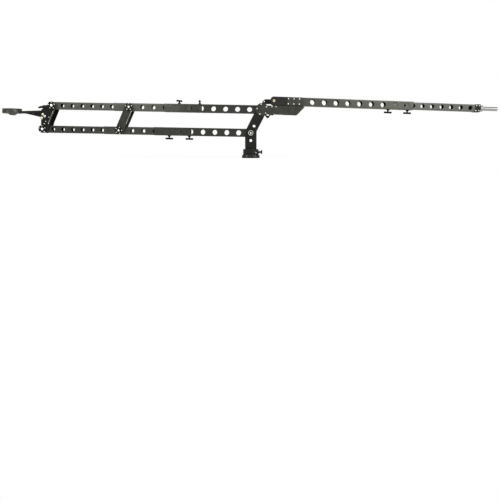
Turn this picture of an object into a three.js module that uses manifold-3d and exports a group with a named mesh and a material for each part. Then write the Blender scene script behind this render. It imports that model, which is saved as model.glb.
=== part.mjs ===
// A telescopic camera jib: a parallelogram boom on a panning post, with a folding counterweight arm.
// Millimetres, +Z up. The origin is the centre of the base flange's underside, the camera end points to -X.
import * as THREE from "three";
import { mergeVertices } from "three/addons/utils/BufferGeometryUtils.js";
import Module from "manifold-3d";

const wasm = await Module();
wasm.setup();

// Fits shared by the whole jib
const fit = 0.3;
const overrun = 2;
const halfTurn = Math.PI;
const quarterTurn = Math.PI / 2;
const degree = Math.PI / 180;

// Boom geometry: pivot heights, reaches measured from the post's pivots, and the pose
const lowerPivotHeight = 157;
const linkLength = 160;
const linkLean = 26 * degree;
const boomTilt = 1.05 * degree;
const rearDroop = 2 * degree;
const midPivotReach = 836;
const frontPivotReach = 1319;

// Telescoping tubes: each stage slides inside the one before it
const tubeHeight = 50.8;
const tubeWidth = 50.8;
const tubeWall = 1.3;
const tubeCorner = 2;
const tubeShrink = 2 * (tubeWall + fit);
const midHeight = tubeHeight - tubeShrink;
const midWidth = tubeWidth - tubeShrink;
const frontHeight = midHeight - tubeShrink;
const frontWidth = midWidth - tubeShrink;

// Boom tubes, as distances from the post's pivot towards the camera, drawn out to their full length
const outerMouth = 615;
const outerTail = 60;
const lowerTail = 22;
const outerOverlap = 232;
const midNose = 99;
const midMouth = midPivotReach + midNose;
const midTail = outerMouth - outerOverlap;
const midOverlap = 61;
const frontNose = 14;
const frontTail = midMouth - midOverlap;
const outerHoleRadius = 16;
const outerHoleFirst = 77.8;
const outerHolePitch = 76.2;
const innerHoleRadius = 13.2;
const midTailHoleMargin = 53;
const midTailHole = midTail + midTailHoleMargin;
const midHoleOffset = 223;
const midHoleFirst = midPivotReach - midHoleOffset;
const midHolePitch = 70.6;
const midPeepholeRadius = 12;
const midPeepholeOffset = 74;
const midPeephole = midPivotReach + midPeepholeOffset;
const frontHoleMargin = 72;
const frontHoleFirst = frontTail + frontHoleMargin;
const frontHolePitch = 62.2;
const lockScrewOffset = 53;
const lockScrewReach = midPivotReach + lockScrewOffset;
const lockScrewRadius = 5;
const lockScrewHeight = 1.6;
const holeSides = 12;
const cornerSteps = 2;
const outlineSteps = 8;

// T-handle clamp screws
const knobInsets = [92, 221];
const knobReaches = knobInsets.map((inset) => outerMouth - inset);
const knobConeRadius = 12;
const knobConeTop = 6;
const knobConeHeight = 9;
const knobStemRadius = 4.2;
const knobHeight = 19.5;
const knobBarRadius = 4.4;
const knobBarLength = 48;
const knobTipRadius = 3.6;
const upperKnobTurn = 58 * degree;
const knobSides = 8;

// Pivots: shafts, caps with their ring of screws, washers
const shaftRadius = 8;
const bossRadius = 11;
const capRadius = 26;
const capSides = 16;
const capThickness = 3;
const capScrewCircle = 19;
const capScrewRadius = 3;
const screwHeight = 1.8;
const screwSides = 6;
const shaftSides = 10;
const capScrewCount = 5;
const linkInside = 32.5;
const linkPlateThickness = 6;
const linkPlateWidth = 47;
const shaftNub = 1.4;

// Post
const postPlateThickness = 6;
const postWasherThickness = 2;
const postWasherRadius = 15;
const postPlateInside = tubeWidth / 2 + fit + postWasherThickness + fit;
const postWidth = 73.4;
const postTopRadius = 33;
const postSightRadius = 9;
const lowerSightHeight = 110;
const upperSightLinkShare = 0.3;
const postBlockHeight = 26;
const postBlockWidth = 66;
const lowerRingRadius = 18.3;
const lowerRingRim = 2.6;
const lowerRingThickness = 3;
const lowerRingDepth = 1.6;
const lowerRingButton = 3.4;

// Base: flange, pan bearing, spindle, hub
const flangeRadius = 58.5;
const flangeRim = 4;
const flangeHeight = 24;
const hubRadius = 50;
const hubTop = 56;
const hubShoulder = 3;
const bearingRadius = 32;
const bearingHeight = 10;
const spindleRadius = 15;
const spindleHeadRadius = 21;
const spindleHeadHeight = 6;
const spindleLength = 34;
const bearingBore = spindleRadius + fit;
const flangeScrewCircle = 53.5;
const flangeScrewCount = 6;
const flangeScrewRadius = 4;
const flangeScrewTop = 18;
const baseSides = 30;
const panKnobHeight = 37;
const panKnobTurn = 71 * degree;

// Knuckle behind the post, measured from the upper post pivot along and across the rear arm
const knucklePlateThickness = 5;
const knucklePlateInside = postPlateInside + postPlateThickness + fit;
const lobeRadius = 39;
const lobeScrewCircle = 32;
const lobeScrewTurn = 29.7 * degree;
const knuckleScrewRadius = 3.4;
const knuckleTop = 24;
const knuckleBottom = 25.6;
const knuckleTopEnd = 268;
const knuckleBottomEnd = 223;
const knuckleTieScrews = [62, 88];
const knuckleTieScrewRise = 19;
const foldPinReach = 73.6;
const foldPinRise = 55.5;
const foldPinRadius = 10;
const foldEyeRadius = 17;
const cradleThickness = 8;
const cradleStart = 66;
const cradleEnd = 262;
const blockStart = 63;
const blockEnd = 130;
const spigotStart = 28;
const spigotSlack = 0.5;
const lugShares = [[0.35, 0], [0.62, 1], [1, 0]];
const lugReach = 60;
const lugDrop = 25;
const lugThickness = 10;
const lugSlotDrop = 9;
const lugSlotRim = 1.5;
const lugSlotStart = 31.5;
const lugSlotEnd = 46.5;
const lugStem = 6;

// Latch on top of the upper tube
const latchPinReach = 13.3;
const latchPinRise = 48.9;
const latchPinRadius = 4;
const latchWidth = 34;
const latchTip = 3;
const latchEnd = 55;
const latchTop = 63.5;
const latchBottom = 34.5;
const latchCheek = 4;
const latchCheekEnd = 20.5;
const latchCheekRise = 5.5;
const latchBaseThickness = 4;

// Counterweight arm, measured from the folding pin
const rearTubeStart = 75;
const rearMouth = 878;
const rearHoleFirst = 243.2;
const rearHolePitch = 74.1;
const rearKnobInsets = [151, 28];
const rearKnobReaches = rearKnobInsets.map((inset) => rearMouth - inset);
const cheekThickness = 6;
const cheekInside = tubeWidth / 2 + fit;
const cheekNose = 19.2;
const cheekNoseRadius = tubeHeight / 2;
const cheekEnd = 182;
const cheekScrewFirst = 92.6;
const cheekScrewPitch = 34;
const cheekScrewColumns = 3;
const cheekScrewRise = 15.5;
const cheekScrewRadius = 3.4;
const sleeveWall = 1.7;
const sleeveLength = 26;
const tailSleeveLength = 18;
const sleeveShrink = 2 * (sleeveWall + fit);
const rearInnerHeight = midHeight - sleeveShrink;
const rearInnerWidth = midWidth - sleeveShrink;
const rearOverlap = 156;
const rearInnerTail = rearMouth - rearOverlap;
const rearInnerEnd = 1268;
const rearInnerHoleMargin = 94.4;
const rearInnerHoleFirst = rearInnerTail + rearInnerHoleMargin;
const rearInnerHolePitch = 60.5;
const endCapHeight = 48;
const endCapWidth = 46;
const endCapLength = 34;
const endCapSpigot = 24;
const endCapScrewInset = 8;
const endCapScrewRise = 15.5;
const endCapScrewRadius = 4;
const barRadius = 12.5;
const barEnd = 1419;
const barChamfer = 2.5;
const barSocket = 20;
const collarRadius = 19;
const collarWidth = 16;
const collarGap = 5;
const barSides = 18;

// Camera head, measured from the upper front pivot
const headPlateShares = [
  [-0.2, 0.02], [-0.533, 0.015], [-0.642, -0.149], [-0.956, -0.153], [-0.99, -0.343], [-1.04, -0.48],
  [-1.05, -0.62], [-1.09, -0.8], [-1.01, -1.14], [-0.6, -1.05], [-0.34, -0.79], [-0.3, -0.72],
  [0.28, -0.16],
];
const headPlateUnit = linkLength * Math.sin(linkLean);
const headPlateUnitHigh = linkLength * Math.cos(linkLean);
const headPinReach = 59;
const headPinDrop = 54;
const headPinRadius = 5.5;
const headPinHead = 7;
const headPinHeadHeight = 4;
const headBridge = { left: 45, right: 31, top: 1, bottom: 19 };
const headCollar = { radius: 12, end: 68 };
const headRod = { reach: 61.4, drop: 84, radius: 6 };
const headScrewShares = [
  [0.645, 0.44], [0.92, 0.53], [0.328, 0.499], [0.781, 0.774], [0.637, 0.672], [0.4, 0.765],
];
const headScrewRadii = [8, 8, 3, 3.6, 3, 2.6];
const headKnobDrop = 8;
const headKnobTurn = 78 * degree;
const headKnobBarLength = 40;
const tongueRootRadius = 18;
const tongueRootHalf = 16.5;
const tongueTop = 24;
const tongueTipTop = 20;
const tongueBladeThickness = 9;
const tongueWedgeTip = 108;
const tongueBladeWidth = 56;
const tongueWedgeWidth = 30;
const tongueRootWidth = 64;
const bowlReach = 266.5;
const bowlTopDrop = 18.6;
const bowlRadius = 59.5;
const bowlHeight = 28;
const bowlCavityRadius = 37.5;
const bowlShell = 2.7;
const bowlHoleRadius = 12;
const bowlLip = 2;
const bowlSocketRadius = 4;
const bowlSocketDepth = 5;
const bowlSocketTurn = 36 * degree;
const bowlSides = 28;
const bowlArcSteps = 4;

// Colours
const black = { color: 0x2c2d2a, roughness: 0.5, metalness: 0.6 };
const darkGrey = { color: 0x3a3b38, roughness: 0.5, metalness: 0.6 };
const knobBlack = { color: 0x1a1a19, roughness: 0.6, metalness: 0.1 };
const steel = { color: 0xc9cacb, roughness: 0.3, metalness: 1 };
const brass = { color: 0xcaa968, roughness: 0.35, metalness: 1 };
const nylon = { color: 0x20211f, roughness: 0.6, metalness: 0 };

// Axes that an extrusion follows: across the boom (outline in X and Z) or along it (outline in Y and Z)
const acrossBoom = new THREE.Matrix4().makeBasis(
  new THREE.Vector3(1, 0, 0), new THREE.Vector3(0, 0, 1), new THREE.Vector3(0, -1, 0));
const alongBoom = new THREE.Matrix4().makeBasis(
  new THREE.Vector3(0, 1, 0), new THREE.Vector3(0, 0, 1), new THREE.Vector3(1, 0, 0));

// Turns a closed three.js geometry into a solid that can be cut and joined
function solid(geometry) {
  const bare = geometry.clone();
  bare.deleteAttribute("normal");
  bare.deleteAttribute("uv");
  const welded = mergeVertices(bare);
  return new wasm.Manifold(new wasm.Mesh({
    numProp: 3,
    vertProperties: welded.attributes.position.array,
    triVerts: new Uint32Array(welded.index.array),
  }));
}

function fuse(...geometries) {
  return geometries.map(solid).reduce((all, next) => all.add(next));
}

function cut(body, ...tools) {
  return tools.map(solid).reduce((rest, tool) => rest.subtract(tool), body);
}

// Turns a solid back into a three.js geometry with flat facets
function facets(body) {
  const mesh = body.getMesh();
  const geometry = new THREE.BufferGeometry();
  geometry.setAttribute("position", new THREE.Float32BufferAttribute(mesh.vertProperties, mesh.numProp));
  geometry.setIndex(new THREE.BufferAttribute(mesh.triVerts, 1));
  const flat = geometry.toNonIndexed();
  flat.computeVertexNormals();
  return flat;
}

function piece(parent, name, finish, body) {
  const mesh = new THREE.Mesh(facets(body), new THREE.MeshStandardMaterial(finish));
  mesh.name = name;
  parent.add(mesh);
  return mesh;
}

function frame(parent, x, z, turn) {
  const group = new THREE.Group();
  group.position.set(x, 0, z);
  group.rotation.y = turn;
  parent.add(group);
  return group;
}

// Box given by its limits along X, Y and Z
function block(left, right, near, far, bottom, top) {
  const box = new THREE.BoxGeometry(right - left, far - near, top - bottom);
  return box.translate((left + right) / 2, (near + far) / 2, (bottom + top) / 2);
}

// Radius of a faceted bore whose flats still clear a round shaft as it turns
function clearance(radius, sides) {
  return (radius + fit) / Math.cos(halfTurn / sides);
}

// Round bar across the boom between two places on Y
function crossBar(radius, x, z, near, far, sides) {
  const bar = new THREE.CylinderGeometry(radius, radius, far - near, sides);
  return bar.translate(x, (near + far) / 2, z);
}

// Outline in X and Z, given a thickness between two places on Y
function sheet(outline, near, far) {
  const extruded = new THREE.ExtrudeGeometry(outline, {
    depth: far - near, bevelEnabled: false, curveSegments: outlineSteps,
  });
  return extruded.applyMatrix4(acrossBoom).translate(0, far, 0);
}

function polygon(points) {
  return new THREE.Shape(points.map(([x, z]) => new THREE.Vector2(x, z)));
}

// Revolved profile about the vertical axis: points are [radius, height]
function turned(points, sides) {
  const profile = points.map(([radius, height]) => new THREE.Vector2(radius, height));
  return new THREE.LatheGeometry(profile, sides).rotateX(quarterTurn);
}

function roundedOutline(width, height, corner) {
  const outline = new THREE.Shape();
  const right = width / 2;
  const top = height / 2;
  outline.moveTo(corner - right, -top);
  outline.lineTo(right - corner, -top);
  outline.absarc(right - corner, corner - top, corner, -quarterTurn, 0);
  outline.absarc(right - corner, top - corner, corner, 0, quarterTurn);
  outline.absarc(corner - right, top - corner, corner, quarterTurn, halfTurn);
  outline.absarc(corner - right, corner - top, corner, halfTurn, halfTurn + quarterTurn);
  return outline;
}

// Rectangular tube along X from start to end with round lightening holes through both sides
function holedTube(start, end, width, height, wall, holes) {
  const outline = roundedOutline(width, height, tubeCorner);
  const bar = new THREE.ExtrudeGeometry(outline, {
    depth: end - start, bevelEnabled: false, curveSegments: cornerSteps,
  });
  const side = width / 2 - wall;
  const top = height / 2 - wall;
  const bore = block(start - overrun, end + overrun, -side, side, -top, top);
  const tools = holes.map(({ x, radius }) => crossBar(radius, x, 0, -width, width, holeSides));
  return cut(solid(bar.applyMatrix4(alongBoom).translate(start, 0, 0)), bore, ...tools);
}

// Holes at one pitch from the first, as many as leave a hole's own radius of wall before the end
function row(first, pitch, end, radius) {
  const count = Math.max(0, Math.floor((end - 2 * radius - first) / pitch) + 1);
  return Array.from({ length: count }, (_, i) => ({ x: first + i * pitch, radius }));
}

function mirrored(holes) {
  return holes.map(({ x, radius }) => ({ x: -x, radius }));
}

// Places evenly spread on a circle in X and Z
function ring(count, radius, turn) {
  return Array.from({ length: count }, (_, i) => {
    const angle = turn + (i * 2 * halfTurn) / count;
    return { x: radius * Math.cos(angle), z: radius * Math.sin(angle) };
  });
}

// Button heads standing on a plate's outer face, on the side that the sign names
function buttonHeads(places, radius, face, side) {
  return places.map(({ x, z }) => {
    const outer = side * (face + screwHeight);
    const inner = side * (face - fit);
    return crossBar(radius, x, z, Math.min(inner, outer), Math.max(inner, outer), screwSides);
  });
}

// Span on Y of a plate on one side of the boom
function span(side, inside, thickness) {
  const outer = inside + thickness;
  return side > 0 ? [inside, outer] : [-outer, -inside];
}

// T-handle clamp screw standing on a surface at its own origin, pointing up, its tip reaching below
function clampScrew(tip, barTurn, barLength = knobBarLength) {
  const cone = turned([
    [0, 0], [knobConeRadius, 0], [knobConeTop, knobConeHeight], [0, knobConeHeight],
  ], knobSides);
  const stem = new THREE.CylinderGeometry(knobStemRadius, knobStemRadius, knobHeight, knobSides);
  stem.rotateX(quarterTurn).translate(0, 0, knobHeight / 2);
  const bar = new THREE.CylinderGeometry(knobBarRadius, knobBarRadius, barLength, knobSides);
  bar.rotateZ(quarterTurn).translate(0, 0, knobHeight).rotateZ(barTurn);
  const thread = new THREE.CylinderGeometry(knobTipRadius, knobTipRadius, tip + fit, knobSides);
  thread.rotateX(quarterTurn).translate(0, 0, (fit - tip) / 2);
  return fuse(cone, stem, bar, thread);
}

// Clears the thread of a clamp screw where it enters a wall
function screwHole(x, z, depth) {
  const radius = clearance(knobTipRadius, knobSides);
  const drill = new THREE.CylinderGeometry(radius, radius, depth, knobSides);
  return drill.rotateX(quarterTurn).translate(x, 0, z);
}

// Disc with a ring of button heads that closes a pivot on a plate's outer face
function pivotCap(face, side, turn) {
  const [near, far] = span(side, face, capThickness);
  const places = ring(capScrewCount, capScrewCircle, turn);
  const heads = buttonHeads(places, capScrewRadius, face + capThickness, side);
  const disc = fuse(crossBar(capRadius, 0, 0, near, far, capSides), ...heads);
  const bore = clearance(shaftRadius, shaftSides);
  return cut(disc, crossBar(bore, 0, 0, near - overrun, far + overrun, shaftSides));
}

const upperPivot = {
  x: linkLength * Math.sin(linkLean),
  z: lowerPivotHeight + linkLength * Math.cos(linkLean),
};
const linkDrop = { x: -linkLength * Math.sin(linkLean), z: -linkLength * Math.cos(linkLean) };
const sides = [{ name: "near", side: -1 }, { name: "far", side: 1 }];

const jib = new THREE.Group();
jib.name = "camera_jib";

// Base flange, pan bearing and spindle, which stand still, and the hub that turns on them
function addBase(parent) {
  const seat = flangeHeight - bearingHeight;
  const screws = ring(flangeScrewCount, flangeScrewCircle, halfTurn / flangeScrewCount).map(({ x, z }) =>
    new THREE.CylinderGeometry(flangeScrewRadius, flangeScrewRadius, flangeScrewTop - fit, screwSides)
      .rotateX(quarterTurn).translate(x, z, (flangeScrewTop + fit) / 2));
  const flange = fuse(turned([
    [0, 0], [flangeRadius, 0], [flangeRadius, flangeRim], [hubRadius, flangeHeight], [0, flangeHeight],
  ], baseSides), ...screws);
  const recess = turned([
    [0, seat], [bearingRadius + fit, seat], [bearingRadius + fit, flangeHeight + overrun],
    [0, flangeHeight + overrun],
  ], baseSides);
  piece(parent, "base_flange", black, cut(flange, recess));

  const bearing = turned([
    [bearingBore, seat + fit], [bearingRadius, seat + fit], [bearingRadius, flangeHeight],
    [bearingBore, flangeHeight], [bearingBore, seat + fit],
  ], baseSides);
  piece(parent, "pan_bearing", steel, solid(bearing));

  const spindleTop = seat + spindleLength;
  const spindle = turned([
    [0, seat + fit], [spindleRadius, seat + fit], [spindleRadius, spindleTop - spindleHeadHeight],
    [spindleHeadRadius, spindleTop - spindleHeadHeight], [spindleHeadRadius, spindleTop], [0, spindleTop],
  ], barSides);
  piece(parent, "pan_spindle", steel, solid(spindle));
}

function addHub(parent) {
  const bottom = flangeHeight + fit;
  const seat = flangeHeight - bearingHeight;
  const cavityTop = seat + spindleLength + fit;
  const headBottom = seat + spindleLength - spindleHeadHeight;
  const stemBore = clearance(spindleRadius, barSides);
  const headBore = clearance(spindleHeadRadius, barSides);
  const outside = turned([
    [0, bottom], [hubRadius - hubShoulder, bottom], [hubRadius, bottom + hubShoulder],
    [hubRadius, hubTop - hubShoulder], [hubRadius - hubShoulder / 2, hubTop], [0, hubTop],
  ], baseSides);
  const cavity = turned([
    [0, bottom - overrun], [stemBore, bottom - overrun], [stemBore, headBottom - fit],
    [headBore, headBottom - fit], [headBore, cavityTop], [0, cavityTop],
  ], barSides);
  const drill = screwHole(0, 0, hubRadius).rotateY(quarterTurn)
    .translate(spindleRadius + hubRadius / 2, 0, panKnobHeight);
  piece(parent, "post_hub", black, cut(solid(outside), cavity, drill));

  const tip = hubRadius - spindleRadius - fit;
  const knob = piece(parent, "pan_lock_knob", knobBlack, clampScrew(tip, panKnobTurn));
  knob.position.set(hubRadius + fit, 0, panKnobHeight);
  knob.rotation.y = quarterTurn;
}

// Two dogleg side plates, the block between their feet and the two pivot shafts
function addPost(parent) {
  const foot = hubTop + fit;
  const half = postWidth / 2;
  const lean = Math.tan(linkLean);
  const outline = new THREE.Shape();
  const bend = lowerPivotHeight + lean * half / 2;
  const along = { x: Math.sin(linkLean), z: Math.cos(linkLean) };
  outline.moveTo(-half, foot);
  outline.lineTo(half, foot);
  outline.lineTo(half, bend);
  outline.lineTo(upperPivot.x + postTopRadius * along.z, upperPivot.z - postTopRadius * along.x);
  outline.absarc(upperPivot.x, upperPivot.z, postTopRadius, -linkLean, halfTurn - linkLean);
  outline.lineTo(-half, bend);
  const sight = {
    x: linkLength * upperSightLinkShare * along.x,
    z: lowerPivotHeight + linkLength * upperSightLinkShare * along.z,
  };
  for (const { name, side } of sides) {
    const [near, far] = span(side, postPlateInside, postPlateThickness);
    const bore = clearance(shaftRadius, shaftSides);
    piece(parent, "post_plate_" + name, black, cut(
      solid(sheet(outline, near, far)),
      crossBar(bore, 0, lowerPivotHeight, near - overrun, far + overrun, shaftSides),
      crossBar(bore, upperPivot.x, upperPivot.z, near - overrun, far + overrun, shaftSides),
      crossBar(postSightRadius, sight.x, sight.z, near - overrun, far + overrun, holeSides),
      crossBar(postSightRadius, 0, lowerSightHeight, near - overrun, far + overrun, holeSides)));
  }
  const inside = postPlateInside - fit;
  piece(parent, "post_foot_block", black, solid(
    block(-postBlockWidth / 2, postBlockWidth / 2, -inside, inside, foot, foot + postBlockHeight)));

  const face = postPlateInside + postPlateThickness;
  const washers = (x, z) => sides.map(({ side }) => {
    const [near, far] = span(side, tubeWidth / 2 + fit, postWasherThickness);
    return crossBar(postWasherRadius, x, z, near, far, shaftSides);
  });
  piece(parent, "upper_pivot_shaft", steel, fuse(
    crossBar(shaftRadius, upperPivot.x, upperPivot.z, -face, face, shaftSides),
    ...washers(upperPivot.x, upperPivot.z)));

  const ringFace = face + fit + lowerRingThickness;
  const rings = sides.map(({ side }) => {
    const [near, far] = span(side, face + fit, lowerRingThickness);
    return crossBar(lowerRingRadius, 0, lowerPivotHeight, near, far, barSides);
  });
  const shaft = fuse(
    crossBar(shaftRadius, 0, lowerPivotHeight, -ringFace, ringFace, shaftSides),
    ...washers(0, lowerPivotHeight), ...rings);
  const recesses = sides.map(({ side }) => {
    const [near, far] = span(side, ringFace - lowerRingDepth, lowerRingDepth + overrun);
    return crossBar(lowerRingRadius - lowerRingRim, 0, lowerPivotHeight, near, far, barSides);
  });
  const buttons = crossBar(lowerRingButton, 0, lowerPivotHeight, -ringFace, ringFace, screwSides);
  piece(parent, "lower_pivot_shaft", steel, cut(shaft, ...recesses).add(solid(buttons)));
}

// Outer tube of one boom arm, with its clamp screws on top (up = 1) or underneath (up = -1)
function addOuterArm(parent, name, tail, up) {
  const holes = mirrored(row(outerHoleFirst, outerHolePitch, outerMouth, outerHoleRadius));
  const bore = { x: 0, radius: clearance(shaftRadius, holeSides) };
  const tube = holedTube(-outerMouth, tail, tubeWidth, tubeHeight, tubeWall, [...holes, bore]);
  const drills = knobReaches.map((reach) => screwHole(-reach, up * tubeHeight / 2, 2 * tubeWall + fit));
  piece(parent, name + "_arm_tube", darkGrey, cut(tube, ...drills));
  knobReaches.forEach((reach, i) => {
    const turn = i === 0 && up > 0 ? upperKnobTurn : 0;
    const square = i === 1 && up > 0 ? quarterTurn : turn;
    const knob = piece(parent, `${name}_clamp_knob_${i + 1}`, knobBlack, clampScrew(tubeWall, square));
    knob.position.set(-reach, 0, up * (tubeHeight / 2 + fit));
    knob.rotation.x = up > 0 ? 0 : halfTurn;
  });
}

// Middle tube with welded bosses that carry the mid link
function addMidTube(parent, name) {
  const holes = mirrored([
    { x: midTailHole, radius: innerHoleRadius },
    ...row(midHoleFirst, midHolePitch, midPivotReach - bossRadius, innerHoleRadius),
    { x: midPeephole, radius: midPeepholeRadius },
  ]);
  const tube = holedTube(-midMouth, -midTail, midWidth, midHeight, tubeWall, holes);
  const face = midWidth / 2;
  const nub = linkInside + linkPlateThickness + fit + capThickness + shaftNub;
  const bosses = sides.flatMap(({ side }) => {
    const boss = span(side, face - tubeWall / 2, linkInside - fit - face + tubeWall / 2);
    const stub = span(side, face, nub - face);
    return [
      crossBar(bossRadius, -midPivotReach, 0, ...boss, shaftSides),
      crossBar(shaftRadius, -midPivotReach, 0, ...stub, shaftSides),
    ];
  });
  const screw = crossBar(lockScrewRadius, -lockScrewReach, 0,
    -face - lockScrewHeight, tubeWall / 2 - face, screwSides);
  piece(parent, name + "_mid_tube", darkGrey, tube.add(fuse(...bosses)).add(solid(screw)));
}

function addFrontTube(parent, name) {
  const holes = mirrored([
    ...row(frontHoleFirst, frontHolePitch, frontPivotReach - bossRadius, innerHoleRadius),
    { x: frontPivotReach, radius: clearance(shaftRadius, holeSides) },
  ]);
  piece(parent, name + "_front_tube", darkGrey,
    holedTube(-frontPivotReach - frontNose, -frontTail, frontWidth, frontHeight, tubeWall, holes));
}

// Shaft through a front tube and both head plates, with the spacers that centre the tube
function addFrontShaft(parent, name, x, z) {
  const nub = linkInside + linkPlateThickness + fit + capThickness + shaftNub;
  const spacers = sides.map(({ side }) => {
    const [near, far] = span(side, frontWidth / 2 + fit, linkInside - frontWidth / 2 - 2 * fit);
    return crossBar(bossRadius, x, z, near, far, shaftSides);
  });
  piece(parent, name, steel, fuse(crossBar(shaftRadius, x, z, -nub, nub, shaftSides), ...spacers));
}

function addPivotCaps(parent, name, x, z, turn) {
  for (const { name: sideName, side } of sides) {
    const cap = piece(parent, `${name}_cap_${sideName}`, black,
      pivotCap(linkInside + linkPlateThickness + fit, side, turn));
    cap.position.set(x, 0, z);
  }
}

// Pair of plates that ties the two middle tubes together, hung from the upper one
function addMidLink(parent) {
  const half = linkPlateWidth / 2;
  const across = { x: half * Math.cos(linkLean), z: -half * Math.sin(linkLean) };
  const strip = polygon([
    [-across.x, -across.z], [across.x, across.z],
    [linkDrop.x + across.x, linkDrop.z + across.z], [linkDrop.x - across.x, linkDrop.z - across.z],
  ]);
  for (const { name, side } of sides) {
    const [near, far] = span(side, linkInside, linkPlateThickness);
    const plate = fuse(
      sheet(strip, near, far),
      crossBar(capRadius, 0, 0, near, far, barSides),
      crossBar(capRadius, linkDrop.x, linkDrop.z, near, far, barSides));
    const bore = clearance(shaftRadius, shaftSides);
    piece(parent, "mid_link_plate_" + name, black, cut(plate,
      crossBar(bore, 0, 0, near - overrun, far + overrun, shaftSides),
      crossBar(bore, linkDrop.x, linkDrop.z, near - overrun, far + overrun, shaftSides)));
  }
  addPivotCaps(parent, "mid_link_upper", 0, 0, quarterTurn);
  addPivotCaps(parent, "mid_link_lower", linkDrop.x, linkDrop.z, 0);
}

// Camera head: two plates, their bridge and rod, pivot shafts and caps
function addHead(parent) {
  const outline = polygon(headPlateShares.map(([x, z]) => [x * headPlateUnit, z * headPlateUnitHigh]));
  const face = linkInside + linkPlateThickness;
  for (const { name, side } of sides) {
    const [near, far] = span(side, linkInside, linkPlateThickness);
    const heads = headScrewShares.flatMap(([reach, drop], i) => {
      const place = { x: -reach * headPlateUnit, z: -drop * headPlateUnitHigh };
      return buttonHeads([place], headScrewRadii[i], face, side);
    });
    const plate = fuse(
      sheet(outline, near, far),
      crossBar(capRadius, 0, 0, near, far, barSides),
      crossBar(capRadius, linkDrop.x, linkDrop.z, near, far, barSides), ...heads);
    const bore = clearance(shaftRadius, shaftSides);
    const pinBore = clearance(headPinRadius, holeSides);
    piece(parent, "head_plate_" + name, black, cut(plate,
      crossBar(bore, 0, 0, near - overrun, far + overrun, shaftSides),
      crossBar(bore, linkDrop.x, linkDrop.z, near - overrun, far + overrun, shaftSides),
      crossBar(pinBore, -headPinReach, -headPinDrop, near - overrun, far + overrun, holeSides)));
  }
  const inside = linkInside - fit;
  const collarStart = headBridge.left - overrun;
  const collar = new THREE.CylinderGeometry(
    headCollar.radius, headCollar.radius, headCollar.end - collarStart, capSides);
  const bridge = fuse(
    block(-headBridge.left, -headBridge.right, -inside, inside, -headBridge.bottom, headBridge.top),
    collar.rotateZ(quarterTurn).translate(-(headCollar.end + collarStart) / 2, 0, -headKnobDrop));
  const tip = headCollar.end - headBridge.right - overrun;
  const drill = screwHole(0, 0, 2 * tip + fit).rotateY(quarterTurn)
    .translate(-headCollar.end, 0, -headKnobDrop);
  piece(parent, "head_bridge", black, cut(bridge, drill));
  piece(parent, "head_rod", steel,
    solid(crossBar(headRod.radius, -headRod.reach, -headRod.drop, -inside, inside, holeSides)));
  const knob = piece(parent, "head_lock_knob", knobBlack, clampScrew(tip, headKnobTurn, headKnobBarLength));
  knob.position.set(-headCollar.end - fit, 0, -headKnobDrop);
  knob.rotation.y = -quarterTurn;

  addFrontShaft(parent, "head_upper_shaft", 0, 0);
  addFrontShaft(parent, "head_lower_shaft", linkDrop.x, linkDrop.z);
  addPivotCaps(parent, "head_upper", 0, 0, quarterTurn);
  addPivotCaps(parent, "head_lower", linkDrop.x, linkDrop.z, quarterTurn);

  const reach = face + fit;
  const ends = sides.map(({ side }) =>
    crossBar(headPinHead, -headPinReach, -headPinDrop, ...span(side, reach, headPinHeadHeight), holeSides));
  piece(parent, "head_tilt_pin", brass, fuse(
    crossBar(headPinRadius, -headPinReach, -headPinDrop, -reach, reach, holeSides), ...ends));
}

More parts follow.
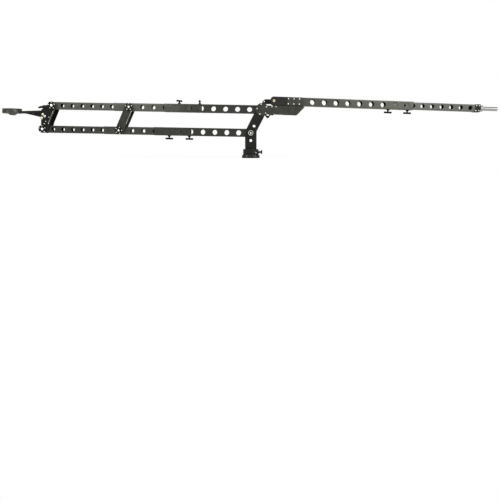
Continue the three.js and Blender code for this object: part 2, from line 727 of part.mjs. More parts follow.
// Tongue that carries the bowl: a round root on the tilt pin, a wedge and a wide blade, about the pin
function addTongue(parent) {
  const bowl = { x: headPinReach - bowlReach, top: headPinDrop - bowlTopDrop };
  const bladeEnd = bowl.x + bowlRadius / 2;
  const fall = (tongueTipTop - tongueTop) / (bowl.x + bowlRadius + tongueRootHalf);
  const topAt = (x) => tongueTop + fall * (x + tongueRootHalf);
  const wedge = polygon([
    [0, tongueRootRadius], [-tongueRootHalf, tongueTop], [-tongueWedgeTip, topAt(-tongueWedgeTip)],
    [-tongueWedgeTip, topAt(-tongueWedgeTip) - tongueBladeThickness],
    [-tongueRootHalf, -tongueRootRadius], [0, -tongueRootRadius],
  ]);
  const blade = polygon([
    [-tongueRootHalf, tongueTop], [bladeEnd, topAt(bladeEnd)],
    [bladeEnd, topAt(bladeEnd) - tongueBladeThickness], [-tongueRootHalf, tongueTop - tongueBladeThickness],
  ]);
  const gap = fit + fit / 2;
  const around = new THREE.CylinderGeometry(bowlRadius + gap, bowlRadius + gap, bowlHeight * 2, bowlSides);
  const body = fuse(
    crossBar(tongueRootRadius, 0, 0, -tongueRootWidth / 2, tongueRootWidth / 2, barSides),
    sheet(wedge, -tongueWedgeWidth / 2, tongueWedgeWidth / 2),
    sheet(blade, -tongueBladeWidth / 2, tongueBladeWidth / 2));
  piece(parent, "head_tongue", black, cut(body,
    crossBar(clearance(headPinRadius, holeSides), 0, 0, -tongueBladeWidth, tongueBladeWidth, holeSides),
    around.rotateX(quarterTurn).translate(bowl.x, 0, bowl.top - bowlHeight)));

  const centre = bowl.top - bowlLip;
  const shellRadius = bowlCavityRadius + bowlShell;
  const bottom = bowl.top - bowlHeight;
  const arc = (radius, from, to, steps) => Array.from({ length: steps + 1 }, (_, i) => {
    const angle = from + (to - from) * i / steps;
    return [radius * Math.cos(angle), centre + radius * Math.sin(angle)];
  });
  const innerEnd = -Math.acos(bowlHoleRadius / bowlCavityRadius);
  const outerStart = -Math.acos(bowlHoleRadius / shellRadius);
  const outerEnd = -Math.asin((centre - bottom) / shellRadius);
  const profile = [
    [bowlRadius, bottom], [bowlRadius, bowl.top], [bowlCavityRadius, bowl.top],
    ...arc(bowlCavityRadius, 0, innerEnd, bowlArcSteps),
    ...arc(shellRadius, outerStart, outerEnd, bowlArcSteps / 2),
    [bowlRadius, bottom],
  ];
  const sockets = [-1, 1].map((hand) => {
    const long = 2 * bowlSocketDepth;
    const drill = new THREE.CylinderGeometry(bowlSocketRadius, bowlSocketRadius, long, screwSides);
    return drill.translate(0, -bowlRadius, bowl.top - bowlHeight / 2).rotateZ(hand * bowlSocketTurn);
  });
  const mesh = piece(parent, "camera_bowl", black, cut(solid(turned(profile, bowlSides)), ...sockets));
  mesh.position.set(bowl.x, 0, 0);
}

// Knuckle plates with the lobe over the post pivot, in the frame that follows the rear arm
function addKnuckle(parent, armTurn) {
  const topStart = Math.sqrt(lobeRadius ** 2 - knuckleTop ** 2);
  const outline = polygon([
    [topStart - overrun, -knuckleBottom], [knuckleBottomEnd, -knuckleBottom],
    [knuckleTopEnd, knuckleTop], [topStart - overrun, knuckleTop],
  ]);
  const face = knucklePlateInside + knucklePlateThickness;
  const screws = [
    ...ring(capScrewCount, lobeScrewCircle, lobeScrewTurn),
    ...knuckleTieScrews.map((x) => ({ x, z: knuckleTieScrewRise })),
  ];
  for (const { name, side } of sides) {
    const [near, far] = span(side, knucklePlateInside, knucklePlateThickness);
    piece(parent, "knuckle_plate_" + name, black, fuse(
      crossBar(lobeRadius, 0, 0, near, far, bowlSides),
      sheet(outline, near, far),
      ...buttonHeads(screws, knuckleScrewRadius, face, side)));
  }
  const inside = knucklePlateInside - fit;
  const cradleTop = foldPinRise - tubeHeight / 2 - fit;
  const spigot = { half: tubeWidth / 2 - tubeWall - fit, high: tubeHeight / 2 - tubeWall - spigotSlack };
  piece(parent, "knuckle_block", darkGrey, fuse(
    block(blockStart, blockEnd, -inside, inside, -knuckleBottom, cradleTop - cradleThickness - fit),
    block(spigotStart, blockStart + overrun, -spigot.half, spigot.half, -spigot.high, spigot.high)
      .rotateY(armTurn)));

  const eye = foldEyeRadius;
  const upstand = cheekInside - fit - fit;
  piece(parent, "rear_cradle", black, cut(fuse(
    block(cradleStart, cradleEnd, -inside, inside, cradleTop - cradleThickness, cradleTop),
    block(foldPinReach - cheekThickness, foldPinReach + eye, -upstand, upstand,
      cradleTop - overrun, foldPinRise),
    crossBar(eye, foldPinReach, foldPinRise, -upstand, upstand, barSides)),
  crossBar(clearance(foldPinRadius, barSides), foldPinReach, foldPinRise, -tubeWidth, tubeWidth, barSides)));

  const lugTop = -knuckleBottom - fit;
  const lug = polygon(lugShares.map(([x, z]) => [x * lugReach, lugTop - z * lugDrop]));
  const tie = block(lugReach - lugStem, blockStart + 2 * lugStem, -lugThickness / 2, lugThickness / 2,
    lugTop - lugStem, lugTop);
  piece(parent, "knuckle_lug", black, cut(fuse(
    sheet(lug, -lugThickness / 2, lugThickness / 2), tie),
  block(lugSlotStart, lugSlotEnd, -lugThickness, lugThickness, lugTop - lugSlotDrop, lugTop - lugSlotRim)));
}

// Latch lever, its bracket on the upper tube and its pin
function addLatch(parent) {
  const half = latchWidth / 2;
  const pinBore = clearance(latchPinRadius, holeSides);
  const lever = polygon([
    [latchTip, latchPinRise], [latchPinReach, latchBottom], [latchEnd, latchBottom + latchCheek / 2],
    [latchEnd, latchTop], [latchPinReach + latchCheek, latchTop],
  ]);
  piece(parent, "latch_lever", black, cut(solid(sheet(lever, -half, half)),
    crossBar(pinBore, latchPinReach, latchPinRise, -latchWidth, latchWidth, holeSides)));

  const floor = tubeHeight / 2 + fit;
  const cheeks = sides.map(({ side }) => {
    const [near, far] = span(side, half + fit, latchCheek);
    return block(latchTip, latchCheekEnd, near, far, floor, latchPinRise + latchCheekRise);
  });
  const wide = half + fit + latchCheek;
  piece(parent, "latch_bracket", black, cut(fuse(
    block(latchTip, latchCheekEnd, -wide, wide, floor, floor + latchBaseThickness), ...cheeks),
  crossBar(pinBore, latchPinReach, latchPinRise, -latchWidth, latchWidth, holeSides)));
  const reach = wide + latchCheek / 2;
  piece(parent, "latch_pin", steel,
    solid(crossBar(latchPinRadius, latchPinReach, latchPinRise, -reach, reach, holeSides)));
}

// Counterweight arm about the folding pin: hinge cheeks, tube, guide sleeve and clamp screws
function addRearArm(parent) {
  const bottom = -tubeHeight / 2;
  const nose = new THREE.Shape();
  const noseAngle = Math.acos(cheekNose / cheekNoseRadius);
  nose.moveTo(cheekEnd, bottom);
  nose.lineTo(cheekEnd, -bottom);
  nose.lineTo(0, -bottom);
  nose.absarc(0, 0, cheekNoseRadius, quarterTurn, halfTurn - noseAngle);
  nose.absarc(0, 0, cheekNoseRadius, halfTurn + noseAngle, halfTurn + quarterTurn);
  nose.lineTo(0, bottom);
  const columns = Array.from({ length: cheekScrewColumns }, (_, i) => cheekScrewFirst + i * cheekScrewPitch);
  const screws = columns.flatMap((x) => [{ x, z: cheekScrewRise }, { x, z: -cheekScrewRise }]);
  for (const { name, side } of sides) {
    const [near, far] = span(side, cheekInside, cheekThickness);
    piece(parent, "rear_hinge_cheek_" + name, black, cut(fuse(
      sheet(nose, near, far),
      ...buttonHeads(screws, cheekScrewRadius, cheekInside + cheekThickness, side)),
    crossBar(clearance(foldPinRadius, barSides), 0, 0, near - overrun, far + overrun, barSides)));
  }
  const reach = cheekInside + cheekThickness + fit;
  piece(parent, "fold_hinge_pin", brass, solid(crossBar(foldPinRadius, 0, 0, -reach, reach, barSides)));

  const tube = holedTube(rearTubeStart, rearMouth, tubeWidth, tubeHeight, tubeWall,
    row(rearHoleFirst, rearHolePitch, rearMouth, outerHoleRadius));
  const drills = rearKnobReaches.map((x) => screwHole(x, -tubeHeight / 2, 2 * tubeWall + fit));
  piece(parent, "rear_arm_tube", darkGrey, cut(tube, ...drills));
  rearKnobReaches.forEach((x, i) => {
    const knob = piece(parent, `rear_clamp_knob_${i + 1}`, knobBlack, clampScrew(tubeWall, 0));
    knob.position.set(x, 0, bottom - fit);
    knob.rotation.x = halfTurn;
  });

  piece(parent, "rear_guide_sleeve", nylon, holedTube(
    rearMouth - sleeveLength, rearMouth - fit, midWidth, midHeight, sleeveWall, []));
}

// Inner counterweight tube with its end cap, weight bar and collar
function addRearInner(parent) {
  piece(parent, "rear_inner_tube", darkGrey, holedTube(
    rearInnerTail, rearInnerEnd, rearInnerWidth, rearInnerHeight, tubeWall,
    row(rearInnerHoleFirst, rearInnerHolePitch, rearInnerEnd, innerHoleRadius)));
  piece(parent, "rear_tail_sleeve", nylon, holedTube(
    rearInnerTail, rearInnerTail + tailSleeveLength, midWidth, midHeight, sleeveWall, []));

  const start = rearInnerEnd + fit;
  const end = start + endCapLength;
  const half = endCapWidth / 2;
  const plug = { width: rearInnerWidth / 2 - tubeWall - fit, height: rearInnerHeight / 2 - tubeWall - fit };
  const places = [start + endCapScrewInset, end - endCapScrewInset].flatMap((x) =>
    [{ x, z: endCapScrewRise }, { x, z: -endCapScrewRise }]);
  const heads = sides.flatMap(({ side }) => buttonHeads(places, endCapScrewRadius, half, side));
  const socket = new THREE.CylinderGeometry(barRadius + fit, barRadius + fit, 2 * barSocket, barSides);
  piece(parent, "rear_end_cap", black, cut(fuse(
    block(start, end, -half, half, -endCapHeight / 2, endCapHeight / 2),
    block(start - endCapSpigot, start + overrun, -plug.width, plug.width, -plug.height, plug.height),
    ...heads),
  socket.rotateZ(quarterTurn).translate(end, 0, 0)));

  const barStart = end - barSocket + fit;
  const alongX = (geometry) => solid(geometry.rotateY(quarterTurn));
  piece(parent, "weight_bar", steel, alongX(turned([
    [0, barStart], [barRadius, barStart], [barRadius, barEnd - barChamfer],
    [barRadius - barChamfer, barEnd], [0, barEnd],
  ], barSides)));
  const collarStart = end + collarGap;
  const collarBore = barRadius + fit;
  piece(parent, "weight_bar_collar", steel, alongX(turned([
    [collarBore, collarStart], [collarRadius, collarStart], [collarRadius, collarStart + collarWidth],
    [collarBore, collarStart + collarWidth], [collarBore, collarStart],
  ], barSides)));
}

const post = frame(jib, 0, 0, 0);
addBase(jib);
addHub(post);
addPost(post);

const upperArm = frame(jib, upperPivot.x, upperPivot.z, boomTilt);
addOuterArm(upperArm, "upper", outerTail, 1);
addMidTube(upperArm, "upper");
addFrontTube(upperArm, "upper");

const lowerArm = frame(jib, 0, lowerPivotHeight, boomTilt);
addOuterArm(lowerArm, "lower", lowerTail, -1);
addMidTube(lowerArm, "lower");
addFrontTube(lowerArm, "lower");

// Place on the upper arm, at a distance from the post pivot towards the camera
function onUpperArm(reach) {
  return { x: upperPivot.x - reach * Math.cos(boomTilt), z: upperPivot.z + reach * Math.sin(boomTilt) };
}

const midPivot = onUpperArm(midPivotReach);
addMidLink(frame(jib, midPivot.x, midPivot.z, 0));

const headPivot = onUpperArm(frontPivotReach);
addHead(frame(jib, headPivot.x, headPivot.z, 0));
addTongue(frame(jib, headPivot.x - headPinReach, headPivot.z - headPinDrop, 0));

const knuckle = frame(jib, upperPivot.x, upperPivot.z, rearDroop);
addKnuckle(knuckle, boomTilt - rearDroop);
addLatch(upperArm);
const rearArm = frame(knuckle, foldPinReach, foldPinRise, 0);
addRearArm(rearArm);
addRearInner(rearArm);

export default jib;
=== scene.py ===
import math

import bmesh
import bpy
from mathutils import Matrix, Vector
from mathutils.geometry import delaunay_2d_cdt


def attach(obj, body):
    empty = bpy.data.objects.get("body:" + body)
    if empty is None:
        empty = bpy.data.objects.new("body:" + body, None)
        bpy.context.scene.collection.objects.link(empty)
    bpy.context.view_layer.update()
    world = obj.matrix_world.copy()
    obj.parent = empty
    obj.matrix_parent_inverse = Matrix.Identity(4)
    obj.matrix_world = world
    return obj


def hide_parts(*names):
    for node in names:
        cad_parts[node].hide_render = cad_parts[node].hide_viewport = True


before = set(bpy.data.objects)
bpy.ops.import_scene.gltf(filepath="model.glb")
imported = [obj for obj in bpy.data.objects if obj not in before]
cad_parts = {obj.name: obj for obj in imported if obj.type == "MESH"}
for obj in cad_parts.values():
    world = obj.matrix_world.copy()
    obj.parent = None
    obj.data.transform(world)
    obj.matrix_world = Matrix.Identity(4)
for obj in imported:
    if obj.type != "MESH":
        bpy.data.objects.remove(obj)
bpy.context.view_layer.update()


# Base flange
# A turned aluminium foot with a coned flank, blasted and anodised black, that bolts down through
# six socket screws set in the flank.

class Signal:
    """A node's output. Arithmetic on it adds Math nodes to its material."""

    def __init__(self, tree, output):
        self.tree = tree
        self.output = output

    def feed(self, socket, value):
        if isinstance(value, Signal):
            self.tree.links.new(value.output, socket)
        elif isinstance(value, (tuple, list)) and socket.type == "RGBA":
            socket.default_value = (*value, 1.0) if len(value) == 3 else value
        else:
            socket.default_value = value

    def math(self, operation, *terms):
        node = self.tree.nodes.new("ShaderNodeMath")
        node.operation = operation
        for socket, term in zip(node.inputs, terms):
            self.feed(socket, term)
        return Signal(self.tree, node.outputs[0])

    def __add__(self, other):
        return self.math("ADD", self, other)

    def __radd__(self, other):
        return self.math("ADD", other, self)

    def __sub__(self, other):
        return self.math("SUBTRACT", self, other)

    def __mul__(self, other):
        return self.math("MULTIPLY", self, other)

    def __rmul__(self, other):
        return self.math("MULTIPLY", other, self)


class Finish(Signal):
    """A material, or a world, and the methods that add its nodes."""

    def __init__(self, name, kind=None):
        self.material = (bpy.data.materials if kind is None else kind).new(name)
        self.material.use_nodes = True
        super().__init__(self.material.node_tree, None)
        self.tree.nodes.clear()

    def node(self, kind, settings=None, sockets=None, output=0):
        node = self.tree.nodes.new(kind)
        for key, value in (settings or {}).items():
            setattr(node, key, value)
        for key, value in (sockets or {}).items():
            self.feed(node.inputs[key], value)
        return Signal(self.tree, node.outputs[output]) if len(node.outputs) else None

    def place(self, stretch=(1, 1, 1), turn=0.0):
        """Where a point of the piece is, in metres, turned about the boom's cross axis and stretched."""
        where = self.node("ShaderNodeTexCoord", output="Object")
        level = self.node("ShaderNodeVectorRotate", {"rotation_type": "Y_AXIS"}, {
            "Vector": where, "Angle": -turn})
        return self.node("ShaderNodeVectorMath", {"operation": "MULTIPLY"}, {0: level, 1: stretch})

    def noise(self, place, scale, detail=2.0, rough=0.5):
        return self.node("ShaderNodeTexNoise", {}, {
            "Vector": place, "Scale": scale, "Detail": detail, "Roughness": rough})

    def between(self, mask, low, high):
        """The mask's range between two values, brought to 0 to 1."""
        return self.node("ShaderNodeMapRange", {}, {"Value": mask, "From Min": low, "From Max": high})

    def mixed(self, mask, under, over):
        """Two colours, the second where the mask is 1."""
        return self.node("ShaderNodeMix", {"data_type": "RGBA"}, {0: mask, 6: under, 7: over}, output=2)

    def bump(self, height, strength, distance):
        return self.node("ShaderNodeBump", {}, {
            "Height": height, "Strength": strength, "Distance": distance})

    def surface(self, sockets):
        shader = self.node("ShaderNodeBsdfPrincipled", {}, sockets)
        self.node("ShaderNodeOutputMaterial", {}, {"Surface": shader})
        return self.material


def toned(colour, times):
    """The colour made paler, or darker where times is under 1."""
    return tuple(times * part for part in colour)


def dyed(grey):
    """Black dye: a grey with a little less blue in it. A full colour stays as it is."""
    return grey if isinstance(grey, tuple) else (grey, grey, round(0.84 * grey, 4))


def blasted(name, dark, light, rough, metal=0.55, gloss=0.5):
    """Bead-blasted black anodising: fine pitted grain, cloudy dye, faint rubbing."""
    finish = Finish(name)
    dark, light = dyed(dark), dyed(light)
    cloud = finish.noise(finish.place(), scale=22.0, detail=4.0, rough=0.6)
    grain = finish.noise(finish.place(), scale=1500.0)
    rub = finish.between(finish.noise(finish.place(), scale=60.0, detail=6.0, rough=0.7), 0.56, 0.74)
    colour = finish.mixed(finish.between(cloud, 0.3, 0.7), dark, light)
    worn = finish.mixed(rub * 0.28, colour, toned(light, 2.2))
    return finish.surface({
        "Base Color": worn,
        "Metallic": metal,
        "Specular IOR Level": gloss,
        "Roughness": rough + 0.10 * cloud - 0.08 * rub,
        "Normal": finish.bump(grain, 0.25, 0.0002),
    })


class Form:
    """A mesh in the making, in millimetres, in the frame of the piece that it belongs to."""

    def __init__(self, place=None):
        self.mesh = bmesh.new()
        self.place = place or Matrix()
        self.tone = 0

    def vertex(self, point):
        return self.mesh.verts.new(self.place @ Vector(point))

    def face(self, corners):
        made = self.mesh.faces.new(corners)
        made.material_index = self.tone
        return made

    def strip(self, one, other):
        """A band of quads between two closed loops of equally many corners."""
        count = len(one)
        for i in range(count):
            j = (i + 1) % count
            self.face((one[i], one[j], other[j], other[i]))

    def fill(self, loops):
        """A flat face inside the first loop and outside the others."""
        edges = []
        for loop in loops:
            for i, corner in enumerate(loop):
                follower = loop[(i + 1) % len(loop)]
                ends = (corner, follower)
                edges.append(self.mesh.edges.get(ends) or self.mesh.edges.new(ends))
        made = bmesh.ops.triangle_fill(self.mesh, use_beauty=True, use_dissolve=False, edges=edges)
        for item in made["geom"]:
            if isinstance(item, bmesh.types.BMFace):
                item.material_index = self.tone

    def turn(self, profile, where=None, sides=48, ease=0):
        """A turned form about its own upright axis. A third number makes that ring a hexagon."""
        profile = eased(profile, ease, closed=False) if ease else profile
        where = where or Matrix()
        rings = []
        for radius, height, *flats in profile:
            if radius < 1e-6:
                rings.append([self.vertex(where @ Vector((0, 0, height)))])
                continue
            ring = []
            for i in range(sides):
                angle = 2 * math.pi * i / sides
                reach = radius
                if flats:
                    reach *= math.cos(math.pi / 6) / math.cos(angle % (math.pi / 3) - math.pi / 6)
                corner = Vector((reach * math.cos(angle), reach * math.sin(angle), height))
                ring.append(self.vertex(where @ corner))
            rings.append(ring)
        for lower, upper in zip(rings, rings[1:]):
            if len(lower) == 1 and len(upper) == 1:
                continue
            if len(lower) == 1 or len(upper) == 1:
                tip, ring = (lower[0], upper) if len(lower) == 1 else (upper[0], lower)
                for i in range(sides):
                    self.face((tip, ring[i], ring[(i + 1) % sides]))
            else:
                self.strip(lower, upper)

    def rod(self, radius, low, high, ease, where, sides=48):
        """A plain round rod with eased ends."""
        section = [(0, low), (radius, low), (radius, high), (0, high)]
        self.turn(section, where, sides, ease)

    def ring(self, inner, outer, low, high, ease, where, sides=48):
        """A plain round ring with eased edges."""
        section = [(inner, low), (outer, low), (outer, high), (inner, high), (inner, low)]
        self.turn(section, where, sides, ease)

    def done(self, name, body, finishes, node, slot="black_anodised"):
        """Closes the mesh and puts the piece on its body, in place of its CAD node."""
        bmesh.ops.remove_doubles(self.mesh, verts=self.mesh.verts, dist=0.002)
        bmesh.ops.recalc_face_normals(self.mesh, faces=self.mesh.faces)
        bmesh.ops.transform(self.mesh, matrix=Matrix.Scale(0.001, 4), verts=self.mesh.verts)
        data = bpy.data.meshes.new(name)
        self.mesh.to_mesh(data)
        self.mesh.free()
        for finish in finishes:
            data.materials.append(finish)
        data.polygons.foreach_set("use_smooth", [True] * len(data.polygons))
        data.set_sharp_from_angle(angle=math.radians(32))
        piece = bpy.data.objects.new(name, data)
        bpy.context.scene.collection.objects.link(piece)
        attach(piece, body)
        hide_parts(node)


def at(x, y, z):
    return Matrix.Translation((x, y, z))


def turned(angle, axis):
    return Matrix.Rotation(angle, 4, axis)


def circle(x, z, radius, sides=48, first=0.0):
    """Places round a circle, for a hole's outline or a ring of screws."""
    angles = [first + 2 * math.pi * i / sides for i in range(sides)]
    return [(x + radius * math.cos(angle), z + radius * math.sin(angle)) for angle in angles]


def eased(points, radius, steps=3, closed=True):
    """A line of points with each corner rounded."""
    made = []
    count = len(points)
    for i, point in enumerate(points):
        if not closed and i in (0, count - 1):
            made.append(tuple(point))
            continue
        corner = Vector(point)
        before = Vector(points[i - 1]) - corner
        after = Vector(points[(i + 1) % count]) - corner
        bend = abs(before.normalized().cross(after.normalized()))
        if min(before.length, after.length) < 1e-6 or bend < 0.02:
            made.append(tuple(point))
            continue
        cut = min(radius, 0.45 * before.length, 0.45 * after.length)
        start, end = corner + before.normalized() * cut, corner + after.normalized() * cut
        for step in range(steps + 1):
            t = step / steps
            made.append(tuple((1 - t) ** 2 * start + 2 * t * (1 - t) * corner + t ** 2 * end))
    return made


def button(form, radius, height, where):
    """Button-head socket screw standing on a face at its own origin."""
    form.turn([
        (0, -0.4), (radius * 0.96, -0.4), (radius, height * 0.25), (radius * 0.93, height * 0.62),
        (radius * 0.74, height * 0.92), (radius * 0.58, height), (radius * 0.46, height, 6),
        (radius * 0.42, height * 0.25, 6), (0, height * 0.25),
    ], where, sides=24)


def even(name, colour, metal, rough, haze, scale=900.0):
    """One even colour with a faint haze in its shine."""
    finish = Finish(name)
    return finish.surface({
        "Base Color": colour,
        "Metallic": metal,
        "Roughness": rough + haze * finish.noise(finish.place(), scale),
    })


black = blasted("black_blasted", 0.01, 0.02, rough=0.46, gloss=0.25)
bright_steel = even("stainless_screw", (0.92, 0.92, 0.91), metal=0.35, rough=0.26, haze=0.16)
dark_steel = even("blued_screw", (0.16, 0.16, 0.155), metal=0.8, rough=0.34, haze=0.12)

flange_radius = 58.5
flange_rim = 4
flange_height = 24.0
hub_radius = 50.0
well_radius = 33
well_floor = flange_height - 9.7
base = Form()
base.turn([
    (0, 0), (flange_radius, 0), (flange_radius, flange_rim), (hub_radius, flange_height),
    (well_radius, flange_height), (well_radius, well_floor), (0, well_floor),
], sides=96, ease=1.0)

flange_screw_count = 6
flange_screw_circle = 53.5
flange_screw_seat = 14.6
flange_screw = [(0, -5), (4, -5), (4, 2.4), (3.5, 3), (2.1, 3), (2.0, 3, 6), (2.0, 0.6, 6), (0, 0.6)]
base.tone = 1
for x, y in circle(0, 0, flange_screw_circle, flange_screw_count):
    base.turn(flange_screw, at(x, y, flange_screw_seat), sides=24)
base.done("base_foot", "base", [black, dark_steel], "base_flange")


# Pan bearing and spindle
# A ground steel thrust ring and the spindle that the post turns on, both inside the hub.
# They are kept as the frame's own solids and only take the turned steel finish.

def machined(name, colour, stretch, rough=0.2):
    """Turned metal with fine tool rings across its axis."""
    finish = Finish(name)
    rings = finish.noise(finish.place(stretch), scale=1.0, detail=3.0, rough=0.6)
    smudge = finish.noise(finish.place(), scale=30.0, detail=3.0)
    tone = finish.mixed(finish.between(rings, 0.3, 0.7), toned(colour, 0.86), colour)
    return finish.surface({
        "Base Color": tone,
        "Metallic": 1.0,
        "Roughness": rough + 0.12 * rings + 0.06 * smudge,
        "Normal": finish.bump(rings, 0.12, 0.0001),
    })


def refinished(nodes, finish):
    """The frame's own solids, kept as they are in another finish."""
    for node in nodes:
        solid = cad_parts[node]
        solid.data.materials.clear()
        solid.data.materials.append(finish)


steel_upright = machined("steel_upright", (0.62, 0.62, 0.61), (20, 20, 1400))
refinished(("pan_bearing", "pan_spindle"), steel_upright)


# Hub
# The turned collar that carries the post round on the flange, with a gripping groove and a small
# set screw beside the pan lock.

hub_low, hub_high = 24.3, 56.0
hub_bore = 22
hub_bevel = 3
groove_low, groove_high = 43, 47
groove_floor = hub_radius - 1.4
hub = Form()
hub.turn([
    (hub_bore, hub_low), (hub_radius - hub_bevel, hub_low), (hub_radius, hub_low + hub_bevel),
    (hub_radius, groove_low), (groove_floor, groove_low + 1), (groove_floor, groove_high - 1),
    (hub_radius, groove_high), (hub_radius, hub_high - hub_bevel), (hub_radius - 2.5, hub_high),
    (0, hub_high),
], sides=96, ease=0.7)

hub_screw_turn = math.radians(-49)
hub_screw_height = 33.0
hub_screw = at(hub_radius - 0.2, 0, hub_screw_height) @ turned(math.pi / 2, "Y")
hub.tone = 1
button(hub, 3.5, 2.0, turned(hub_screw_turn, "Z") @ hub_screw)
hub.done("hub", "post", [black, bright_steel], "post_hub")


# T-handle clamp screws
# Eight of one pattern: a steel screw in a powder-coated T-handle with a coned collar. One locks the
# pan, one the head, and two each lock the upper arm, the lower arm and the counterweight arm.

def powder_coat():
    finish = Finish("powder_coat")
    peel = finish.noise(finish.place(), scale=700.0)
    dust = finish.between(finish.noise(finish.place(), scale=90.0, detail=5.0, rough=0.7), 0.5, 0.8)
    return finish.surface({
        "Base Color": finish.mixed(dust, (0.002, 0.002, 0.002), (0.007, 0.007, 0.006)),
        "Specular IOR Level": 0.1,
        "Roughness": 0.50 + 0.16 * dust,
        "Normal": finish.bump(peel, 0.3, 0.0003),
    })


knob_black = powder_coat()
boom_tilt, rear_droop, link_lean = math.radians(1.05), math.radians(2.0), math.radians(26.0)
link_length = 160.0
lower_pivot_height = 157.0
mid_reach, head_reach = 836, 1319
fold_x, fold_z = 73.6, 55.5


def cross_frame(x, z, turn=0.0):
    """Frame at a place in the boom's plane, turned about the cross axis."""
    return at(x, 0, z) @ turned(turn, "Y")


link_drop = Vector((-link_length * math.sin(link_lean), 0, -link_length * math.cos(link_lean)))
upper_x, upper_z = -link_drop.x, lower_pivot_height - link_drop.z
upper_arm = cross_frame(upper_x, upper_z, boom_tilt)
lower_arm = cross_frame(0, lower_pivot_height, boom_tilt)
knuckle = cross_frame(upper_x, upper_z, rear_droop)
rear_arm = knuckle @ cross_frame(fold_x, fold_z)
mid_pivot = upper_arm @ Vector((-mid_reach, 0, 0))
mid_link = cross_frame(mid_pivot.x, mid_pivot.z)
head_pivot = upper_arm @ Vector((-head_reach, 0, 0))
head = cross_frame(head_pivot.x, head_pivot.z)
toward_right = turned(math.pi / 2, "Y")
toward_left = turned(-math.pi / 2, "Y")
downward = turned(math.pi, "X")

knob_rise = 19.5
stem_top = knob_rise - 3
knob_cone = [(0, 0), (11.4, 0), (11.4, 1.4), (5.8, 7), (4.8, 9.5), (4.6, stem_top), (0, stem_top)]
knob_crown = [(0, knob_rise - 8), (6.0, knob_rise - 6), (6.2, knob_rise + 1), (4.6, knob_rise + 4.2),
              (0, knob_rise + 4.3)]


def clamp_screw(name, body, node, place, bar_turn, tip=1.3, bar_half=24.0):
    form = Form(place)
    form.turn(knob_cone, sides=32, ease=1.2)
    bar = at(0, 0, knob_rise - 0.9) @ turned(bar_turn, "Z") @ toward_right
    form.turn([
        (0, -bar_half), (5.6, -bar_half), (5.9, -bar_half + 6), (5.4, -9), (5.8, 0), (5.4, 9),
        (5.9, bar_half - 6), (5.6, bar_half), (0, bar_half),
    ], bar, sides=32, ease=1.4)
    form.turn(knob_crown, sides=32, ease=1.4)
    form.tone = 1
    form.turn([(0, -tip), (3.0, -tip), (3.6, -tip + 0.6), (3.6, 0.3), (0, 0.3)], sides=24)
    form.done(name, body, [knob_black, bright_steel], node, slot="knob_black")


pan_lock = at(50.3, 0, 37) @ toward_right
head_lock = head @ at(-68.3, 0, -8) @ toward_left
clamp_screw("pan_lock_handle", "pan_knob", "pan_lock_knob", pan_lock, math.radians(71), tip=34.7)
clamp_screw("head_lock_handle", "head_knob", "head_lock_knob", head_lock, math.radians(78),
            tip=35, bar_half=20.0)
clamp_seat = 25.7
boom_clamps = [(523, math.radians(58)), (394, math.pi / 2)]
for index, (reach, turn) in enumerate(boom_clamps, 1):
    clamp_screw(f"upper_clamp_handle_{index}", f"upper_knob_{index}", f"upper_clamp_knob_{index}",
                upper_arm @ at(-reach, 0, clamp_seat), turn)
    clamp_screw(f"lower_clamp_handle_{index}", f"lower_knob_{index}", f"lower_clamp_knob_{index}",
                lower_arm @ at(-reach, 0, -clamp_seat) @ downward, 0)
rear_clamps = [727, 850]
for index, reach in enumerate(rear_clamps, 1):
    clamp_screw(f"rear_clamp_handle_{index}", f"rear_knob_{index}", f"rear_clamp_knob_{index}",
                rear_arm @ at(reach, 0, -clamp_seat) @ downward, 0)


# Post
# Two milled side plates with a dogleg, black anodised, with a block between their feet. Sight
# holes go right through both. Every edge is chamfered.

def twice_area(loop):
    return sum(a[0] * b[1] - b[0] * a[1] for a, b in zip(loop, loop[1:] + loop[:1]))


def merged(shapes, holes=()):
    """The edge loops of overlapping outlines joined into one plate, with the holes cut out."""
    points, faces = [], []
    for loop in [*shapes, *holes]:
        start = len(points)
        points += [Vector(p) for p in loop]
        faces.append(list(range(start, len(points))))
    places, _, cells, _, _, origins = delaunay_2d_cdt(points, [], faces, 1, 1e-5)
    kept = [cell for cell, origin in zip(cells, origins)
            if any(i < len(shapes) for i in origin) and not any(i >= len(shapes) for i in origin)]
    directed = {(cell[i], cell[(i + 1) % len(cell)]) for cell in kept for i in range(len(cell))}
    follower = {a: b for a, b in directed if (b, a) not in directed}
    loops = []
    while follower:
        first = min(follower)
        loop, here = [], first
        while here in follower:
            loop.append(tuple(places[here]))
            here = follower.pop(here)
        loops.append(loop)
    return sorted(loops, key=twice_area, reverse=True)


def inset(loop, distance):
    """The loop moved towards the plate's metal by a distance."""
    made = []
    for i, point in enumerate(loop):
        here = Vector(point)
        before = (here - Vector(loop[i - 1])).normalized()
        after = (Vector(loop[(i + 1) % len(loop)]) - here).normalized()
        mitre = Vector((-before.y - after.y, before.x + after.x))
        mitre /= max(mitre.dot(Vector((-before.y, before.x))), 0.3)
        made.append(tuple(here + mitre * distance))
    return made


def plate(form, shapes, holes, near, far, edge=0.8):
    """A plate with chamfered edges, its outline in X and Z, between two places on Y."""
    loops = merged(shapes, holes)
    levels = [(near, edge), (near + edge, 0), (far - edge, 0), (far, edge)]
    rings = []
    for y, step in levels:
        rings.append([[form.vertex((x, y, z)) for x, z in inset(loop, step)] for loop in loops])
    tone = form.tone
    for i, (lower, upper) in enumerate(zip(rings, rings[1:])):
        form.tone = tone if i == 1 else getattr(form, "edge_tone", tone)
        for one, other in zip(lower, upper):
            form.strip(one, other)
    form.tone = tone
    form.fill(rings[0])
    form.fill(rings[-1])


def block(form, left, right, low, high, half, corner, edge):
    """A milled block across the boom's middle plane, with eased corners and chamfered edges."""
    outline = [(left, low), (right, low), (right, high), (left, high)]
    plate(form, [eased(outline, corner)], [], -half, half, edge)


